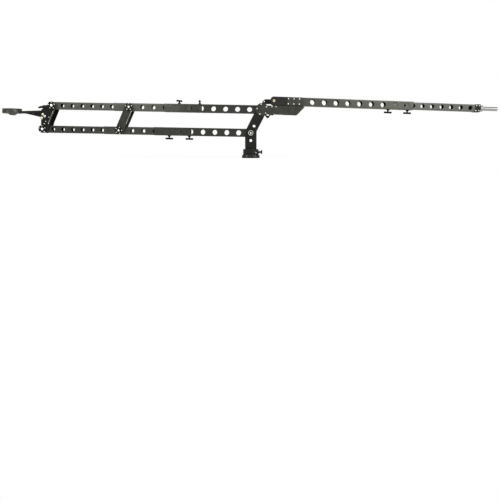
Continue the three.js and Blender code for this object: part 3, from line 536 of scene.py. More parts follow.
def both(inside, thickness):
    """The two spans on Y of a pair of plates, near one first, with their names."""
    return (("near", -1, -inside - thickness, -inside), ("far", 1, inside, inside + thickness))


def outward(x, y, z, side):
    """Frame on a plate's outer face, pointing away from the boom's middle plane."""
    return at(x, y, z) @ turned(-side * math.pi / 2, "X")


def arc(x, z, radius, start, end, steps=24):
    return [(x + radius * math.cos(start + (end - start) * i / steps),
             z + radius * math.sin(start + (end - start) * i / steps)) for i in range(steps + 1)]


edge_black = blasted("black_edge", 0.05, 0.09, rough=0.3, metal=0.8)
post_half = 36.7
post_foot = 56.3
post_head_radius = 33
post_inside, post_thickness = 28.0, 6
bore_radius = 8.3
sight_radius = 9
bend = lower_pivot_height + math.tan(link_lean) * post_half / 2
post_outline = [
    (-post_half, post_foot), (post_half, post_foot), (post_half, bend),
    *arc(upper_x, upper_z, post_head_radius, -link_lean, math.pi - link_lean, 32), (-post_half, bend),
]
sight_reach, sight_low = 48, 110
sight = (sight_reach * math.sin(link_lean), lower_pivot_height + sight_reach * math.cos(link_lean))
post_holes = [
    circle(0, lower_pivot_height, bore_radius), circle(upper_x, upper_z, bore_radius),
    circle(*sight, sight_radius), circle(0, sight_low, sight_radius),
]
for name, side, near, far in both(post_inside, post_thickness):
    post = Form()
    post.edge_tone = 1
    plate(post, [post_outline], post_holes, near, far, 1.0)
    post.done(f"post_cheek_{name}", "post", [black, edge_black], f"post_plate_{name}")

foot_block_half = 33
foot_block_top = 82.3
post_block = Form()
block(post_block, -foot_block_half, foot_block_half, post_foot, foot_block_top,
      half=27.7, corner=1.5, edge=1.2)
post_block.tone = 1
for x in (-20, 20):
    button(post_block, 5, 3, at(x, 0, foot_block_top))
post_block.done("post_spacer", "post", [black, bright_steel], "post_foot_block")


# Post pivot shafts
# Ground steel shafts with thrust washers either side of the arm tubes. The lower one ends in a
# bright dished ring with a button in the middle, both sides.

steel_across = machined("steel_across", (0.66, 0.66, 0.65), (25, 1300, 25))
shaft_radius = 8
washer_radius = 15
washer_seat = 25.7
upper_shaft = Form()
upper_shaft.rod(shaft_radius, -34.0, 34.0, 0.8, outward(upper_x, 0, upper_z, 1))
lower_shaft = Form()
lower_shaft.rod(shaft_radius, -35.5, 35.5, 0.4, outward(0, 0, lower_pivot_height, 1))
for form, x, z in ((upper_shaft, upper_x, upper_z), (lower_shaft, 0, lower_pivot_height)):
    for side in (-1, 1):
        form.ring(shaft_radius, washer_radius, 0, 2, 0.4, outward(x, side * washer_seat, z, side))

dish_seat = 34.3
dish_floor = 1.4
dish_ring = [(12.8, dish_floor), (13.3, 3.0), (15.2, 3.0), (15.2, 0), (12.8, 0)]
dish_button = [(0, 2.6), (1.2, 2.6, 6), (1.3, 3.0, 6), (4.4, 3.0), (5.0, 2.5), (5.0, dish_floor),
               (0, dish_floor)]
for side in (-1, 1):
    rim = outward(0, side * dish_seat, lower_pivot_height, side)
    lower_shaft.tone = 0
    lower_shaft.turn(dish_ring, rim, sides=64, ease=0.4)
    lower_shaft.turn(dish_button, rim, sides=32)
    lower_shaft.tone = 1
    lower_shaft.turn([(5.0, dish_floor), (13.0, dish_floor)], rim, sides=64)
upper_shaft.done("upper_post_shaft", "post", [steel_across], "upper_pivot_shaft", slot="steel")
lower_shaft.done("lower_post_shaft", "post", [bright_steel, black], "lower_pivot_shaft", slot="steel")


# Boom tubes
# Six square drawn aluminium tubes in three telescoping stages, their sides lightened with round
# holes, black anodised. The draw marks run lengthwise, with faint rubs from the sliding.

def drawn(name, dark, light, turn, rough=0.36, mouth=None):
    """Drawn tube with lengthwise lines. The mouth, from one place on X to another, is painted paler: a
    painted sheen, standing in for light reflected along there.
    """
    finish = Finish(name)
    dark, light = dyed(dark), dyed(light)
    lines = finish.noise(finish.place((2.5, 900, 900), turn), scale=1.0, detail=4.0, rough=0.65)
    cloud = finish.noise(finish.place((1, 3, 3), turn), scale=9.0, detail=3.0, rough=0.6)
    streaks = finish.noise(finish.place((6, 260, 260), turn), scale=1.0, detail=5.0, rough=0.75)
    rub = finish.between(streaks, 0.60, 0.78)
    speck = finish.noise(finish.place((1, 1, 1), turn), scale=1800.0, detail=1.0)
    colour = finish.mixed(finish.between(0.55 * lines + 0.45 * cloud, 0.32, 0.68), dark, light)
    worn = finish.mixed(rub * 0.30, colour, toned(light, 1.9))
    # painted sheen: the mouth span is mixed towards a paler colour
    if mouth:
        along = finish.node("ShaderNodeSeparateXYZ", {}, {"Vector": finish.place((1, 1, 1), turn)})
        worn = finish.mixed(finish.between(along, *mouth) * 0.8, worn, toned(light, 1.35))
    return finish.surface({
        "Base Color": worn,
        "Metallic": 0.6,
        "Roughness": rough + 0.12 * lines + 0.06 * speck,
        "Normal": finish.bump(lines + 0.4 * speck, 0.12, 0.0002),
    })


wall = 1.3


def tube(form, start, end, size, holes, corner=2.0, chamfer=1.1):
    """Square tube along X with rounded outer corners and holes (x, radius) through both sides."""
    half = size / 2
    flat = half - corner
    inner = half - wall
    outer = []
    for i, (y, z) in enumerate(((flat, flat), (-flat, flat), (-flat, -flat), (flat, -flat))):
        outer += arc(y, z, corner, i * math.pi / 2, (i + 1) * math.pi / 2, 4)
    bore = [(inner, -inner), (inner, inner), (-inner, inner), (-inner, -inner)]
    for x in (start, end):
        rims = [[form.vertex((x, y, z)) for y, z in loop] for loop in (outer, bore)]
        form.fill(rims)
        if x == start:
            first = rims
    # Tone 1, the inner skin and the hole walls, takes the painted shade of the bore.
    for tone, skin, one, other in zip((0, 1), (half, inner), first, rims):
        form.tone = tone
        count = len(one)
        for i in range(count):
            j = (i + 1) % count
            if any(round(abs(vertex.co[1]) - skin, 3) for vertex in (one[i], one[j])):
                form.face((one[i], one[j], other[j], other[i]))
    for side in (-1, 1):
        rings = []
        for tone, y, high, grow in ((0, side * half, flat, chamfer), (1, side * inner, inner, 0.0)):
            form.tone = tone
            corners = ((start, -high), (end, -high), (end, high), (start, high))
            border = [form.vertex((x, y, z)) for x, z in corners]
            loops = []
            for reach, radius in holes:
                loops.append([form.vertex((x, y, z)) for x, z in circle(reach, 0, radius + grow)])
            form.fill([border, *loops])
            rings.append(loops)
        for (reach, radius), outside, inside in zip(holes, *rings):
            lip = [form.vertex((x, side * (half - chamfer), z)) for x, z in circle(reach, 0, radius)]
            form.tone = 0
            form.strip(outside, lip)
            form.tone = 1
            form.strip(lip, inside)
    form.tone = 0


def unlit(name):
    """The tube's inner face, a bare extrusion, painted near-black: painted shade for the inside of the tube,
    where light hardly reaches.
    """
    finish = Finish(name)
    shade_mottle = finish.noise(finish.place(), scale=400.0, detail=3.0)
    return finish.surface({
        "Base Color": finish.mixed(shade_mottle, (0.002, 0.002, 0.002), (0.006, 0.006, 0.005)),
        "Roughness": 0.85 + 0.1 * shade_mottle,
        "Specular IOR Level": 0.05,
    })


# painted shade for the inside of every tube and its hole walls
bore_shade = unlit("tube_bore")
# painted sheen on the upper outer tube near its mouth, in metres along X
painted_sheen_span = (-0.40, -0.50)
# The upper tubes are painted lighter than the lower ones: painted light, for the brighter light on the upper
# arm.
tube_finish = {
    ("upper", "arm"): drawn("tube_upper_outer", 0.026, 0.046, boom_tilt, mouth=painted_sheen_span),
    ("upper", "mid"): drawn("tube_upper_middle", 0.046, 0.078, boom_tilt),
    ("upper", "front"): drawn("tube_upper_front", 0.046, 0.076, boom_tilt),
    ("lower", "arm"): drawn("tube_lower_outer", 0.022, 0.039, boom_tilt),
    ("lower", "mid"): drawn("tube_lower_middle", 0.028, 0.048, boom_tilt),
    ("lower", "front"): drawn("tube_lower_front", 0.024, 0.042, boom_tilt),
}


def holes_from(first, pitch, count, radius):
    """A row of holes towards the camera head, or away from it where the pitch is negative."""
    return [(first - pitch * i, radius) for i in range(count)]


outer_size, mid_size, front_size = 50.8, 47.6, 44.4
outer_hole, mid_hole, front_hole = 16, 12.3, 11.7
pivot_hole = 8.5
outer_mouth = -615
mid_mouth, mid_tail = -935, -383
front_nose, front_tail = -1333, -874
outer_holes = [*holes_from(-77.8, 76.2, 7, outer_hole), (0, pivot_hole)]
mid_holes = [(-436, mid_hole), (-611, mid_hole), *holes_from(-683.6, 70.6, 2, mid_hole), (-910, 12)]
front_holes = [*holes_from(-946, 62.2, 6, front_hole), (-head_reach, pivot_hole)]

boss_face = 23.4
boss = [(8, 0), (13.5, 0), (11.2, 2.6), (11, 8.8), (8, 8.8)]
boss_stub = [(8, 7), (8, 19.7), (0, 19.7)]
stub_face = 42.6
stub_screw = [(0, 0), (5.6, 0), (5.6, 0.3), (5.0, 0.7), (2.0, 0.7), (1.8, 0.7, 6), (1.8, 0.3, 6), (0, 0.3)]
lock_screw_reach = 889
lock_screw = [(0, 0), (5, 0), (5, 1.2), (4, 1.6), (0, 1.6)]
for arm, place, outer_tail in (("upper", upper_arm, 60), ("lower", lower_arm, 22)):
    for stage, start, end, size, holes in (
        ("arm", outer_mouth, outer_tail, outer_size, outer_holes),
        ("mid", mid_mouth, mid_tail, mid_size, mid_holes),
        ("front", front_nose, front_tail, front_size, front_holes),
    ):
        form = Form(place)
        tube(form, start, end, size, holes)
        if stage == "mid":
            for side in (-1, 1):
                seat = outward(-mid_reach, side * boss_face, 0, side)
                form.turn(boss, seat, ease=1.2)
                form.turn(boss_stub, seat, ease=0.8)
            lock_seat = outward(-lock_screw_reach, -mid_size / 2 + 0.1, 0, -1)
            form.turn(lock_screw, lock_seat, sides=24, ease=0.4)
            form.tone = 2
            for side in (-1, 1):
                form.turn(stub_screw, outward(-mid_reach, side * stub_face, 0, side), sides=24)
        part = f"{arm}_{stage}"
        finishes = [tube_finish[arm, stage], bore_shade, bright_steel]
        form.done(f"{part}_box", part, finishes, f"{part}_tube", slot="tube_anodised")


# Pivot caps
# Eight turned discs that close the plate bearings, each held by five button screws round the
# shaft's end. Blasted black with duller stainless screws.

cap_radius = 23.8
cap_face = 38.8
cap_thick = 3.0
cap_bore = 8.5
cap_screw_count = 5
cap_screw_circle = 19
screw_rise = 1.8
dull_steel = even("dull_screw", (0.62, 0.62, 0.60), metal=0.6, rough=0.32, haze=0.14)
cap_black = blasted("cap_blasted", 0.006, 0.013, rough=0.5, gloss=0.15)
cap_section = [(cap_bore, 0), (cap_radius, 0), (cap_radius, cap_thick), (9.8, cap_thick),
               (cap_bore, cap_thick - 1), (cap_bore, 0)]


def pivot_cap(name, body, node, place, side, first):
    form = Form(place)
    form.turn(cap_section, outward(0, side * cap_face, 0, side), sides=64, ease=0.8)
    form.tone = 1
    for x, z in circle(0, 0, cap_screw_circle, cap_screw_count, first):
        button(form, 3.1, screw_rise, outward(x, side * (cap_face + cap_thick), z, side))
    form.done(name, body, [cap_black, dull_steel], node)


link_foot = cross_frame(link_drop.x, link_drop.z)
for name, side in (("near", -1), ("far", 1)):
    for body, place, lower_first in (("mid_link", mid_link, 0), ("head", head, math.pi / 2)):
        pivot_cap(f"{body}_upper_disc_{name}", body, f"{body}_upper_cap_{name}", place, side, math.pi / 2)
        pivot_cap(f"{body}_lower_disc_{name}", body, f"{body}_lower_cap_{name}", place @ link_foot, side,
                  lower_first)


# Mid link
# Two milled straps that tie the middle tubes together and keep the head level. A thin pale line along
# the rear edge of each outer face is a painted highlight, standing in for the glint of that edge.

link_half, rear_half = 23.5, 27.5
across = (link_half * math.cos(link_lean), -link_half * math.sin(link_lean))
rear_edge = (rear_half * math.cos(link_lean), -rear_half * math.sin(link_lean))
strap = [(-across[0], -across[1]), (link_drop.x - across[0], link_drop.z - across[1]),
         (link_drop.x + rear_edge[0], link_drop.z + rear_edge[1]), rear_edge]
# painted highlight: a pale grey for the glint along the plates' rear edges
painted_edge_glint = even("painted_edge_glint", (0.42, 0.42, 0.40), metal=0.2, rough=0.4, haze=0.2, scale=600.0)
link_black = blasted("link_blasted", 0.016, 0.03, rough=0.44, gloss=0.3)
link_inside, link_thickness = 32.5, 6
plate_end = 24
plate_bore = 8.4
plate_ends = [circle(0, 0, plate_end, 64), circle(link_drop.x, link_drop.z, plate_end, 64)]
plate_bores = [circle(0, 0, plate_bore), circle(link_drop.x, link_drop.z, plate_bore)]
glint_faces = (38.3, 38.58)


def painted_glint_line(form, side, inner, outer, start, end):
    """A painted highlight along a plate's rear edge, the glint of that edge, between two shares of the way
    from pivot to pivot.
    """
    rim = [(out * math.cos(link_lean) + link_drop.x * share, link_drop.z * share - out * math.sin(link_lean))
           for out, share in ((inner, start), (outer, start), (outer, end), (inner, end))]
    faces = [[form.vertex((x, side * y, z)) for x, z in rim] for y in glint_faces]
    form.tone = 2
    form.strip(*faces)
    for face in faces:
        form.fill([face])
    form.tone = 0


for name, side, near, far in both(link_inside, link_thickness):
    form = Form(mid_link)
    form.edge_tone = 1
    plate(form, [strap, *plate_ends], plate_bores, near, far, 0.9)
    # painted highlight along the strap's rear edge
    painted_glint_line(form, side, 24.6, 26.2, 0.10, 0.64)
    finishes = [link_black, edge_black, painted_edge_glint]
    form.done(f"mid_strap_{name}", "mid_link", finishes, f"mid_link_plate_{name}")


# Camera head
# Two milled plates on the front tubes' pivots with a bridge and a cross rod between them. Bright
# bolts of several sizes go through, and the brass pin is what the platform tilts on.

bolt_steel = machined("bolt_steel", (0.62, 0.62, 0.59), (60, 1500, 60), rough=0.36)
brass = machined("brass_turned", (0.92, 0.82, 0.58), (60, 1500, 60), rough=0.30)
head_black = blasted("head_blasted", 0.007, 0.014, rough=0.48, gloss=0.15)
unit, unit_high = -link_drop.x, -link_drop.z
head_outline = [(x * unit, z * unit_high) for x, z in (
    (-0.2, 0.02), (-0.533, 0.015), (-0.642, -0.149), (-0.956, -0.153), (-0.99, -0.343), (-1.04, -0.48),
    (-1.05, -0.62), (-1.09, -0.8), (-1.01, -1.14), (-0.6, -1.05), (-0.34, -0.79), (-0.3, -0.72),
    (0.28, -0.16))]
head_screws = [(-0.70, -0.458, 7.6), (-0.985, -0.53, 8.4), (-0.328, -0.499, 3.0), (-0.781, -0.774, 3.6),
               (-0.637, -0.672, 3.0), (-0.4, -0.765, 2.6)]
tilt_x, tilt_z = -59, -54
tilt_hole = 5.9
for name, side, near, far in both(link_inside, link_thickness):
    form = Form(head)
    form.edge_tone = 1
    plate(form, [eased(head_outline, 5), *plate_ends], [*plate_bores, circle(tilt_x, tilt_z, tilt_hole)],
          near, far, 0.9)
    # painted highlight along the head plate's rear edge
    painted_glint_line(form, side, 20.6, 22.0, 0.16, 0.68)
    for x, z, radius in head_screws:
        form.tone = 4 if radius > 4 else 3
        seat = outward(x * unit, side * (link_inside + link_thickness), z * unit_high, side)
        button(form, radius, screw_rise, seat)
    finishes = [head_black, edge_black, painted_edge_glint, dull_steel, bolt_steel]
    form.done(f"head_cheek_{name}", "head", finishes, f"head_plate_{name}")

between_plates = 32.2
bridge = Form(head)
block(bridge, -45, -31, -19, 1, half=between_plates, corner=1.5, edge=1.2)
lock_socket = [(0, 43.5), (12, 43.5), (12, 68), (4.2, 68), (4.2, 60), (0, 60)]
bridge.turn(lock_socket, at(0, 0, -8) @ toward_left, sides=48, ease=0.8)
bridge.done("head_spacer", "head", [black], "head_bridge")

rod_x, rod_z, rod_radius = -61.4, -84, 6
rod = Form(head)
rod.rod(rod_radius, -between_plates, between_plates, 0.6, outward(rod_x, 0, rod_z, 1))
rod.done("head_cross_rod", "head", [steel_across], "head_rod", slot="steel")

axle_half = 42.7
spacer = [(shaft_radius, 0), (11, 0), (11, 9.7), (shaft_radius, 9.7)]
spacer_seat = 22.5
end_disc = [(0, 42.2), (5.6, 42.2), (5.6, 42.9), (5.1, 43.2), (0, 43.2)]
for name, place in (("upper", head), ("lower", head @ link_foot)):
    form = Form(place)
    form.rod(shaft_radius, -axle_half, axle_half, 1.0, outward(0, 0, 0, 1))
    for side in (-1, 1):
        form.turn(spacer, outward(0, side * spacer_seat, 0, side), ease=0.5)
    form.tone = 1
    for side in (-1, 1):
        form.turn(end_disc, outward(0, 0, 0, side), sides=32)
    form.done(f"head_{name}_axle", "head", [steel_across, bright_steel], f"head_{name}_shaft", slot="steel")

pin_radius, pin_seat = 5.5, 38.8
pin_end = [(5, 0), (7, 0), (7, 2.8), (5.8, 4), (2.8, 4), (2.6, 1.8), (0, 1.8)]
tilt_pin = Form(head)
tilt_pin.rod(pin_radius, -pin_seat, pin_seat, 0.6, outward(tilt_x, 0, tilt_z, 1))
for side in (-1, 1):
    tilt_pin.turn(pin_end, outward(tilt_x, side * pin_seat, tilt_z, side), sides=40, ease=0.6)
tilt_pin.done("head_pin", "head", [brass], "head_tilt_pin", slot="brass")


# Tongue and camera bowl
# The tongue is a milled arm on the brass pin: a wide blade on a wedge with a pocket each side. The
# bowl is a turned ring with a grip groove, a ball seat and a domed shell below.

bowl_reach, bowl_drop, bowl_radius = 266.5, 18.6, 59.5
bowl_x = -tilt_x - bowl_reach
root_half, root_radius = 16.5, 18
tongue_top, tongue_tip_top = 24.0, 20.0
blade_thick = 12.5
web_reach = 128
blade_slope = (tongue_tip_top - tongue_top) / (bowl_x + bowl_radius + root_half)


def blade_top(x):
    return tongue_top + blade_slope * (x + root_half)


tongue = Form(head @ cross_frame(tilt_x, tilt_z))
tongue.ring(tilt_hole, root_radius, -32, 32, 1.0, outward(0, 0, 0, 1), sides=64)
web_tip = blade_top(-web_reach)
web = [(0, -root_radius), (0, root_radius), (-root_half, 12), (-web_reach, web_tip - 12.4),
       (-web_reach, web_tip - 12.8), (-root_half, -root_radius)]
web_pocket = eased([(-24, -10), (-24, 7), (-88, 7)], 3)
for near, far, pockets in ((-15, -11, [web_pocket]), (-11, 11, []), (11, 15, [web_pocket])):
    plate(tongue, [web], pockets, near, far, 0.01)
blade_reach = bowl_radius + 0.45
blade_half = 28.0
spread = math.asin(blade_half / blade_reach)
blade = [(-root_half, -blade_half), (-root_half, blade_half),
         *arc(bowl_x, 0, blade_reach, spread, -spread)]
upper = [tongue.vertex((x, y, blade_top(x))) for x, y in blade]
lower = [tongue.vertex((x, y, blade_top(x) - blade_thick)) for x, y in blade]
tongue.strip(upper, lower)
tongue.fill([upper])
tongue.fill([lower])
tongue.tone = 1
for x, y, z in ((-19, 15.0, 6.3), (-70, 11.0, 4.9)):
    for side in (-1, 1):
        button(tongue, 1.8, 1.0, outward(x, side * y, z, side))
tongue.done("tongue", "head_platform", [black, bright_steel], "head_tongue")

bowl_grey = blasted("bowl_blasted", 0.044, 0.074, rough=0.34, metal=0.7)
bowl_hole = 12
seat_radius = 37.5
shell_radius = 39.0
groove_radius = 57.1
ball_seat = arc(0, -2, seat_radius, 0, -math.acos(bowl_hole / seat_radius), 16)
shell = arc(0, -2, shell_radius, -math.acos(bowl_hole / shell_radius), -math.asin(26 / shell_radius), 12)
rim = [(57.5, -28), (bowl_radius, -25), (bowl_radius, -13.5), (groove_radius, -12.2), (groove_radius, -3.8),
       (bowl_radius, -2.6), (bowl_radius, 0), (39, 0), (seat_radius, -2)]
bowl = Form(head @ cross_frame(-bowl_reach, -bowl_drop))
bowl.turn([*eased(rim, 0.6, closed=False), *ball_seat[1:], *shell, (57.5, -28)], sides=128)
bowl.tone = 1
bowl_screw_turn = math.radians(36)
bowl_screw_place = at(0, -groove_radius, -8) @ turned(math.pi / 2, "X")
bowl_screw = [(0, 0), (4.2, 0), (4.2, 1.6), (3.6, 2.0), (2.2, 2.0), (2.1, 2.0, 6), (2.1, 0.5, 6), (0, 0.5)]
for hand in (-1, 1):
    bowl.turn(bowl_screw, turned(hand * bowl_screw_turn, "Z") @ bowl_screw_place, sides=24)
bowl.done("bowl", "head_platform", [bowl_grey, dark_steel], "camera_bowl")


# Knuckle
# The milled plates behind the post with a round lobe over the upper pivot, the block and cradle
# between them, and the slotted lug for a strap underneath.

knuckle_black = blasted("knuckle_blasted", 0.036, 0.06, rough=0.36, metal=0.65)
lobe = 39.0
knuckle_inside, knuckle_thickness = 34.3, 5
knuckle_foot = -25.6
wing = [(26, knuckle_foot), (223, knuckle_foot), (268, 24), (28, 24)]
lobe_screw_circle, lobe_screw_count = 32, 5
lobe_screws = circle(0, 0, lobe_screw_circle, lobe_screw_count, math.radians(29.7))
wing_screws = [(62, 19), (88, 19)]
for name, side, near, far in both(knuckle_inside, knuckle_thickness):
    form = Form(knuckle)
    form.edge_tone = 1
    plate(form, [circle(0, 0, lobe, 96), wing], [], near, far, 0.9)
    form.tone = 2
    for x, z in [*lobe_screws, *wing_screws]:
        button(form, 3.4, screw_rise, outward(x, side * (knuckle_inside + knuckle_thickness), z, side))
    finishes = [knuckle_black, edge_black, bright_steel]
    form.done(f"knuckle_cheek_{name}", "upper_arm", finishes, f"knuckle_plate_{name}")

cheek_gap = 34.0
core = Form(knuckle)
block(core, 63, 130, knuckle_foot, 21.5, half=cheek_gap, corner=1.5, edge=1.0)
core.place = upper_arm
block(core, 28, 65, -23.6, 23.6, half=23.8, corner=1.0, edge=0.6)
core.done("knuckle_core", "upper_arm", [black], "knuckle_block")

eye_radius, eye_bore = 17, 10.3
eye_half = 25.1
eye_foot = [(67.6, 27.8), (90.6, 27.8), (90.6, fold_z), (67.6, fold_z)]
cradle_nose = [(52, 22.4), (52, 33.5), (58, 36), (62, 41), (70, 41), (70, 22.4)]
cradle = Form(knuckle)
block(cradle, 66, 262, 21.8, 29.8, half=cheek_gap, corner=1.2, edge=1.0)
plate(cradle, [circle(fold_x, fold_z, eye_radius, 64), eye_foot, cradle_nose],
      [circle(fold_x, fold_z, eye_bore)], -eye_half, eye_half, 0.8)
cradle.done("arm_cradle", "upper_arm", [black], "rear_cradle")

lug_top = -25.9
lug_body = [(43, -50.9), (60, lug_top), (21, lug_top), (22, -37), (34, -50.9)]
lug_foot = [(54, -31.9), (75, -31.9), (75, lug_top), (54, lug_top)]
lug_slot = [(31.5, -34.9), (46.5, -34.9), (46.5, -27.4), (31.5, -27.4)]
lug = Form(knuckle)
plate(lug, [eased(lug_body, 2), lug_foot], [lug_slot], -5, 5, 0.8)
lug.done("strap_lug", "upper_arm", [black], "knuckle_lug")


# Latch
# A hook on the upper tube that holds the counterweight arm down on its cradle. Milled lever, small
# fork bracket and a steel pin.

latch_x, latch_z, latch_bore = 13.3, 48.9, 4.3
lever_outline = [(3, latch_z), (latch_x, 34.5), (55, 36.5), (55, 63.5), (17.3, 63.5)]
lever_half = 17
latch_hole = circle(latch_x, latch_z, latch_bore)
lever = Form(upper_arm)
plate(lever, [eased(lever_outline, 2.5)], [latch_hole], -lever_half, lever_half, 1.2)
lever.done("latch_hook", "latch", [black], "latch_lever")

fork_start, fork_end, fork_top = 3, 20.5, 54.4
fork_inside, fork_thickness = 17.3, 4
tine = [(fork_start, 26.4), (fork_end, 26.4), (fork_end, fork_top), (fork_start, fork_top)]
fork = Form(upper_arm)
block(fork, fork_start, fork_end, 25.7, 29.7, half=fork_inside + fork_thickness, corner=0.8, edge=0.6)
for name, side, near, far in both(fork_inside, fork_thickness):
    plate(fork, [eased(tine, 3)], [latch_hole], near, far, 0.6)
fork.done("latch_fork", "upper_arm", [black], "latch_bracket")

latch_pin_radius, latch_pin_half = 4, 23.3
latch_pin = Form(upper_arm)
latch_pin.rod(latch_pin_radius, -latch_pin_half, latch_pin_half, 0.8, outward(latch_x, 0, latch_z, 1))
latch_pin.done("latch_axle", "upper_arm", [bright_steel], "latch_pin", slot="steel")


# Counterweight arm
# The folding rear arm: hinge cheeks screwed over a drawn tube, the brass folding pin in its dark
# bushing, and an inner tube that slides in two nylon guide sleeves.

# The counterweight arm's tubes are painted paler than the boom's, and the inner tube paler still: painted
# light, for the light falling on the rear arm from the right.
rear_tube = drawn("tube_rear", 0.05, 0.086, rear_droop)
rear_inner_tube = drawn("tube_rear_inner", 0.062, (0.106, 0.106, 0.100), rear_droop)
cheek_black = blasted("cheek_blasted", 0.034, 0.056, rough=0.36, gloss=0.65)
eye_black = blasted("eye_blasted", 0.017, 0.031, rough=0.40, gloss=0.5)
cheek_half = 25.4
cheek_inside, cheek_thickness = 25.7, 6
nose_angle = math.acos(19.2 / cheek_half)
eye_end, cheek_end = 84.0, 182
eye = [
    (eye_end, -cheek_half), (eye_end, cheek_half),
    *arc(0, 0, cheek_half, math.pi / 2, math.pi - nose_angle, 16),
    *arc(0, 0, cheek_half, math.pi + nose_angle, 1.5 * math.pi, 16),
]
cheek = [(cheek_end, -cheek_half), (cheek_end, cheek_half), (eye_end, cheek_half), (eye_end, -cheek_half)]
cheek_screw_first, cheek_screw_pitch = 90.4, 34.4
screw_row = 15.5
for name, side, near, far in both(cheek_inside, cheek_thickness):
    form = Form(rear_arm)
    form.edge_tone = 1
    plate(form, [cheek], [], near, far, 0.8)
    form.tone = 3
    plate(form, [eye], [circle(0, 0, eye_bore)], near, far, 0.8)
    form.tone = 2
    for i in range(3):
        x = cheek_screw_first + cheek_screw_pitch * i
        for z in (-screw_row, screw_row):
            button(form, 3.8, screw_rise, outward(x, side * (cheek_inside + cheek_thickness), z, side))
    finishes = [cheek_black, edge_black, bright_steel, eye_black]
    form.done(f"hinge_cheek_{name}", "rear_arm", finishes, f"rear_hinge_cheek_{name}")

fold_pin_radius, fold_pin_half = 8.2, 31.9
bushing_bore, bushing_radius, bushing_half = 8.3, 10.1, 31.4
fold_pin = Form(rear_arm)
fold_pin.rod(fold_pin_radius, -fold_pin_half, fold_pin_half, 0.8, outward(0, 0, 0, 1), sides=64)
fold_pin.tone = 1
fold_pin.ring(bushing_bore, bushing_radius, -bushing_half, bushing_half, 0.4, outward(0, 0, 0, 1), sides=64)
fold_pin.done("folding_pin", "upper_arm", [brass, eye_black], "fold_hinge_pin", slot="brass")

rear_start, rear_mouth = 75, 878
rear_holes = holes_from(243.2, -74.1, 9, outer_hole)
rear_box = Form(rear_arm)
tube(rear_box, rear_start, rear_mouth, outer_size, rear_holes)
rear_box.done("rear_arm_box", "rear_arm", [rear_tube, bore_shade], "rear_arm_tube", slot="tube_anodised")

inner_size, inner_hole = 43.6, 13.2
inner_start, inner_end = 722, 1268
inner_holes = holes_from(816.4, -60.5, 8, inner_hole)
inner_box = Form(rear_arm)
tube(inner_box, inner_start, inner_end, inner_size, inner_holes)
inner_finishes = [rear_inner_tube, bore_shade]
inner_box.done("rear_inner_box", "rear_inner", inner_finishes, "rear_inner_tube", slot="tube_anodised")

nylon = even("nylon", (0.02, 0.02, 0.0168), metal=0.0, rough=0.5, haze=0.1, scale=300.0)
refinished(("rear_guide_sleeve", "rear_tail_sleeve"), nylon)


# End cap and weight bar
# A milled plug closes the inner tube, held by four screws a side. The polished bar for the
# counterweights is pressed into it behind a steel collar.

cap_start, cap_end = 1268.3, 1302.3
cap_half = 23
plug_half = 20.2
plug = [(cap_start - 24, -plug_half), (cap_start + 2, -plug_half), (cap_start + 2, plug_half),
        (cap_start - 24, plug_half)]
end_cap = Form(rear_arm)
block(end_cap, cap_start, cap_end, -24, 24, half=cap_half, corner=2, edge=1.5)
# The plug inside the tube takes the bore's painted shade.
end_cap.tone = 2
plate(end_cap, [plug], [], -plug_half, plug_half, 0.6)
end_cap.tone = 1
for side in (-1, 1):
    for x in (cap_start + 8, cap_end - 8):
        for z in (-screw_row, screw_row):
            button(end_cap, 3.4, screw_rise, outward(x, side * cap_half, z, side))
end_cap.done("end_plug", "rear_inner", [black, dull_steel, bore_shade], "rear_end_cap")

steel_along = machined("steel_along", (0.36, 0.355, 0.34), (1300, 25, 25), rough=0.34)
bar_start, bar_end, bar_radius = 1282.6, 1419, 12.5
bar_section = [(0, bar_start), (bar_radius, bar_start), (bar_radius, bar_end - 2.5), (10, bar_end),
               (0, bar_end)]
bar = Form(rear_arm)
bar.turn(bar_section, toward_right, sides=64, ease=0.6)
bar.done("bar", "rear_inner", [steel_along], "weight_bar", slot="steel")
collar_start, collar_end = 1307.3, 1323.3
collar = Form(rear_arm)
collar.ring(12.8, 19, collar_start, collar_end, 1.0, toward_right, sides=64)
collar.done("bar_collar", "rear_inner", [steel_along], "weight_bar_collar", slot="steel")


# Floor, lamps and camera
# A plain white floor that keeps the soft shadow, soft lamps above and in front with two small ones
# close to the boom, and the camera low in front of the post. All of it is placed in metres.

floor_finish = Finish("white_floor")
path = floor_finish.tree.nodes.new("ShaderNodeLightPath")
seen = Signal(floor_finish.tree, path.outputs["Is Camera Ray"])
glossy = Signal(floor_finish.tree, path.outputs["Is Glossy Ray"])
paper = floor_finish.node("ShaderNodeBsdfDiffuse", {}, {"Color": (0.85, 0.85, 0.85)})
glow = floor_finish.node("ShaderNodeEmission", {}, {"Color": (1, 1, 1), "Strength": 1.0})
spot = floor_finish.node("ShaderNodeTexCoord", output="Object")
reach = floor_finish.node("ShaderNodeVectorMath", {"operation": "LENGTH"}, {0: spot}, output=1)
away = floor_finish.between(reach, 0.5, 1.6)
glowing = seen * (0.85 + 0.15 * away) + glossy * 0.5
lit = floor_finish.node("ShaderNodeMixShader", {}, {0: glowing, 1: paper, 2: glow})
floor_finish.node("ShaderNodeOutputMaterial", {}, {"Surface": lit})
floor_half, floor_drop = 9, 0.0005
floor_corners = [(x, y, -floor_drop) for x, y in (
    (-floor_half, -floor_half), (floor_half, -floor_half),
    (floor_half, floor_half), (-floor_half, floor_half))]
floor_mesh = bpy.data.meshes.new("floor")
floor_mesh.from_pydata(floor_corners, [], [(0, 1, 2, 3)])
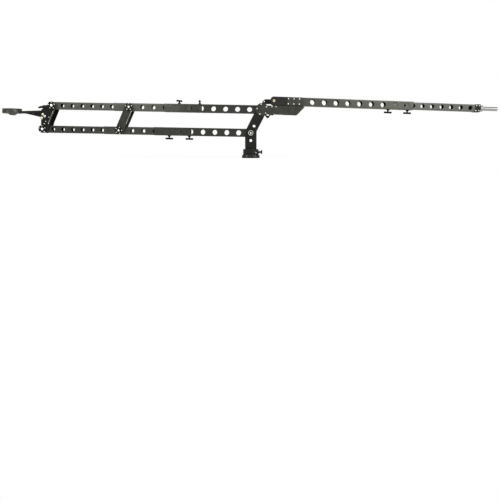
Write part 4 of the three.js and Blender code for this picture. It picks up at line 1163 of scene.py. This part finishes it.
floor_mesh.materials.append(floor_finish.material)
floor = bpy.data.objects.new("floor", floor_mesh)
bpy.context.scene.collection.objects.link(floor)

sky = Finish("studio", bpy.data.worlds)
bpy.context.scene.world = sky.material
ambient = sky.node("ShaderNodeBackground", {}, {"Color": (1, 1, 1), "Strength": 0.55})
backdrop = sky.node("ShaderNodeBackground", {}, {"Color": (1, 1, 1), "Strength": 1.0})
in_view = sky.node("ShaderNodeLightPath", output="Is Camera Ray")
chosen = sky.node("ShaderNodeMixShader", {}, {0: in_view, 1: ambient, 2: backdrop})
sky.node("ShaderNodeOutputWorld", {}, {"Surface": chosen})


def lamp(name, place, target, size, power):
    light = bpy.data.lights.new(name, "AREA")
    light.shape = "RECTANGLE"
    light.size, light.size_y = size
    light.energy = power
    holder = bpy.data.objects.new(name, light)
    holder.visible_camera = False
    bpy.context.scene.collection.objects.link(holder)
    holder.location = place
    holder.rotation_euler = (Vector(target) - Vector(place)).to_track_quat("-Z", "Y").to_euler()


lamp("overhead", (0, -0.8, 3.0), (0, 0, 0.2), size=(4.0, 2.0), power=55)
lamp("front_left", (-3.2, -2.6, 1.6), (-0.8, 0, 0.25), size=(1.6, 1.6), power=30)
lamp("front_right", (3.4, -2.4, 1.5), (1.0, 0, 0.3), size=(1.6, 1.6), power=50)
lamp("boom_key", (-0.86, -0.36, 0.64), (-0.86, 0, 0.3), size=(0.7, 0.2), power=4)
lamp("rear_key", (1.0, -0.42, 0.72), (1.0, 0, 0.3), size=(0.5, 0.15), power=6)

sensor = 36.0
picture_size = 500.0
focal_pixels = 496.0
camera_dip = 12.17
camera_data = bpy.data.cameras.new("camera")
camera_data.sensor_width = sensor
camera_data.lens = focal_pixels / picture_size * sensor
camera = bpy.data.objects.new("camera", camera_data)
bpy.context.scene.collection.objects.link(camera)
camera.location = (-0.00515, -3.267, 0.0942)
camera.rotation_euler = (math.radians(90 - camera_dip), 0, 0)
bpy.context.scene.camera = camera
bpy.context.scene.view_settings.view_transform = "Standard"
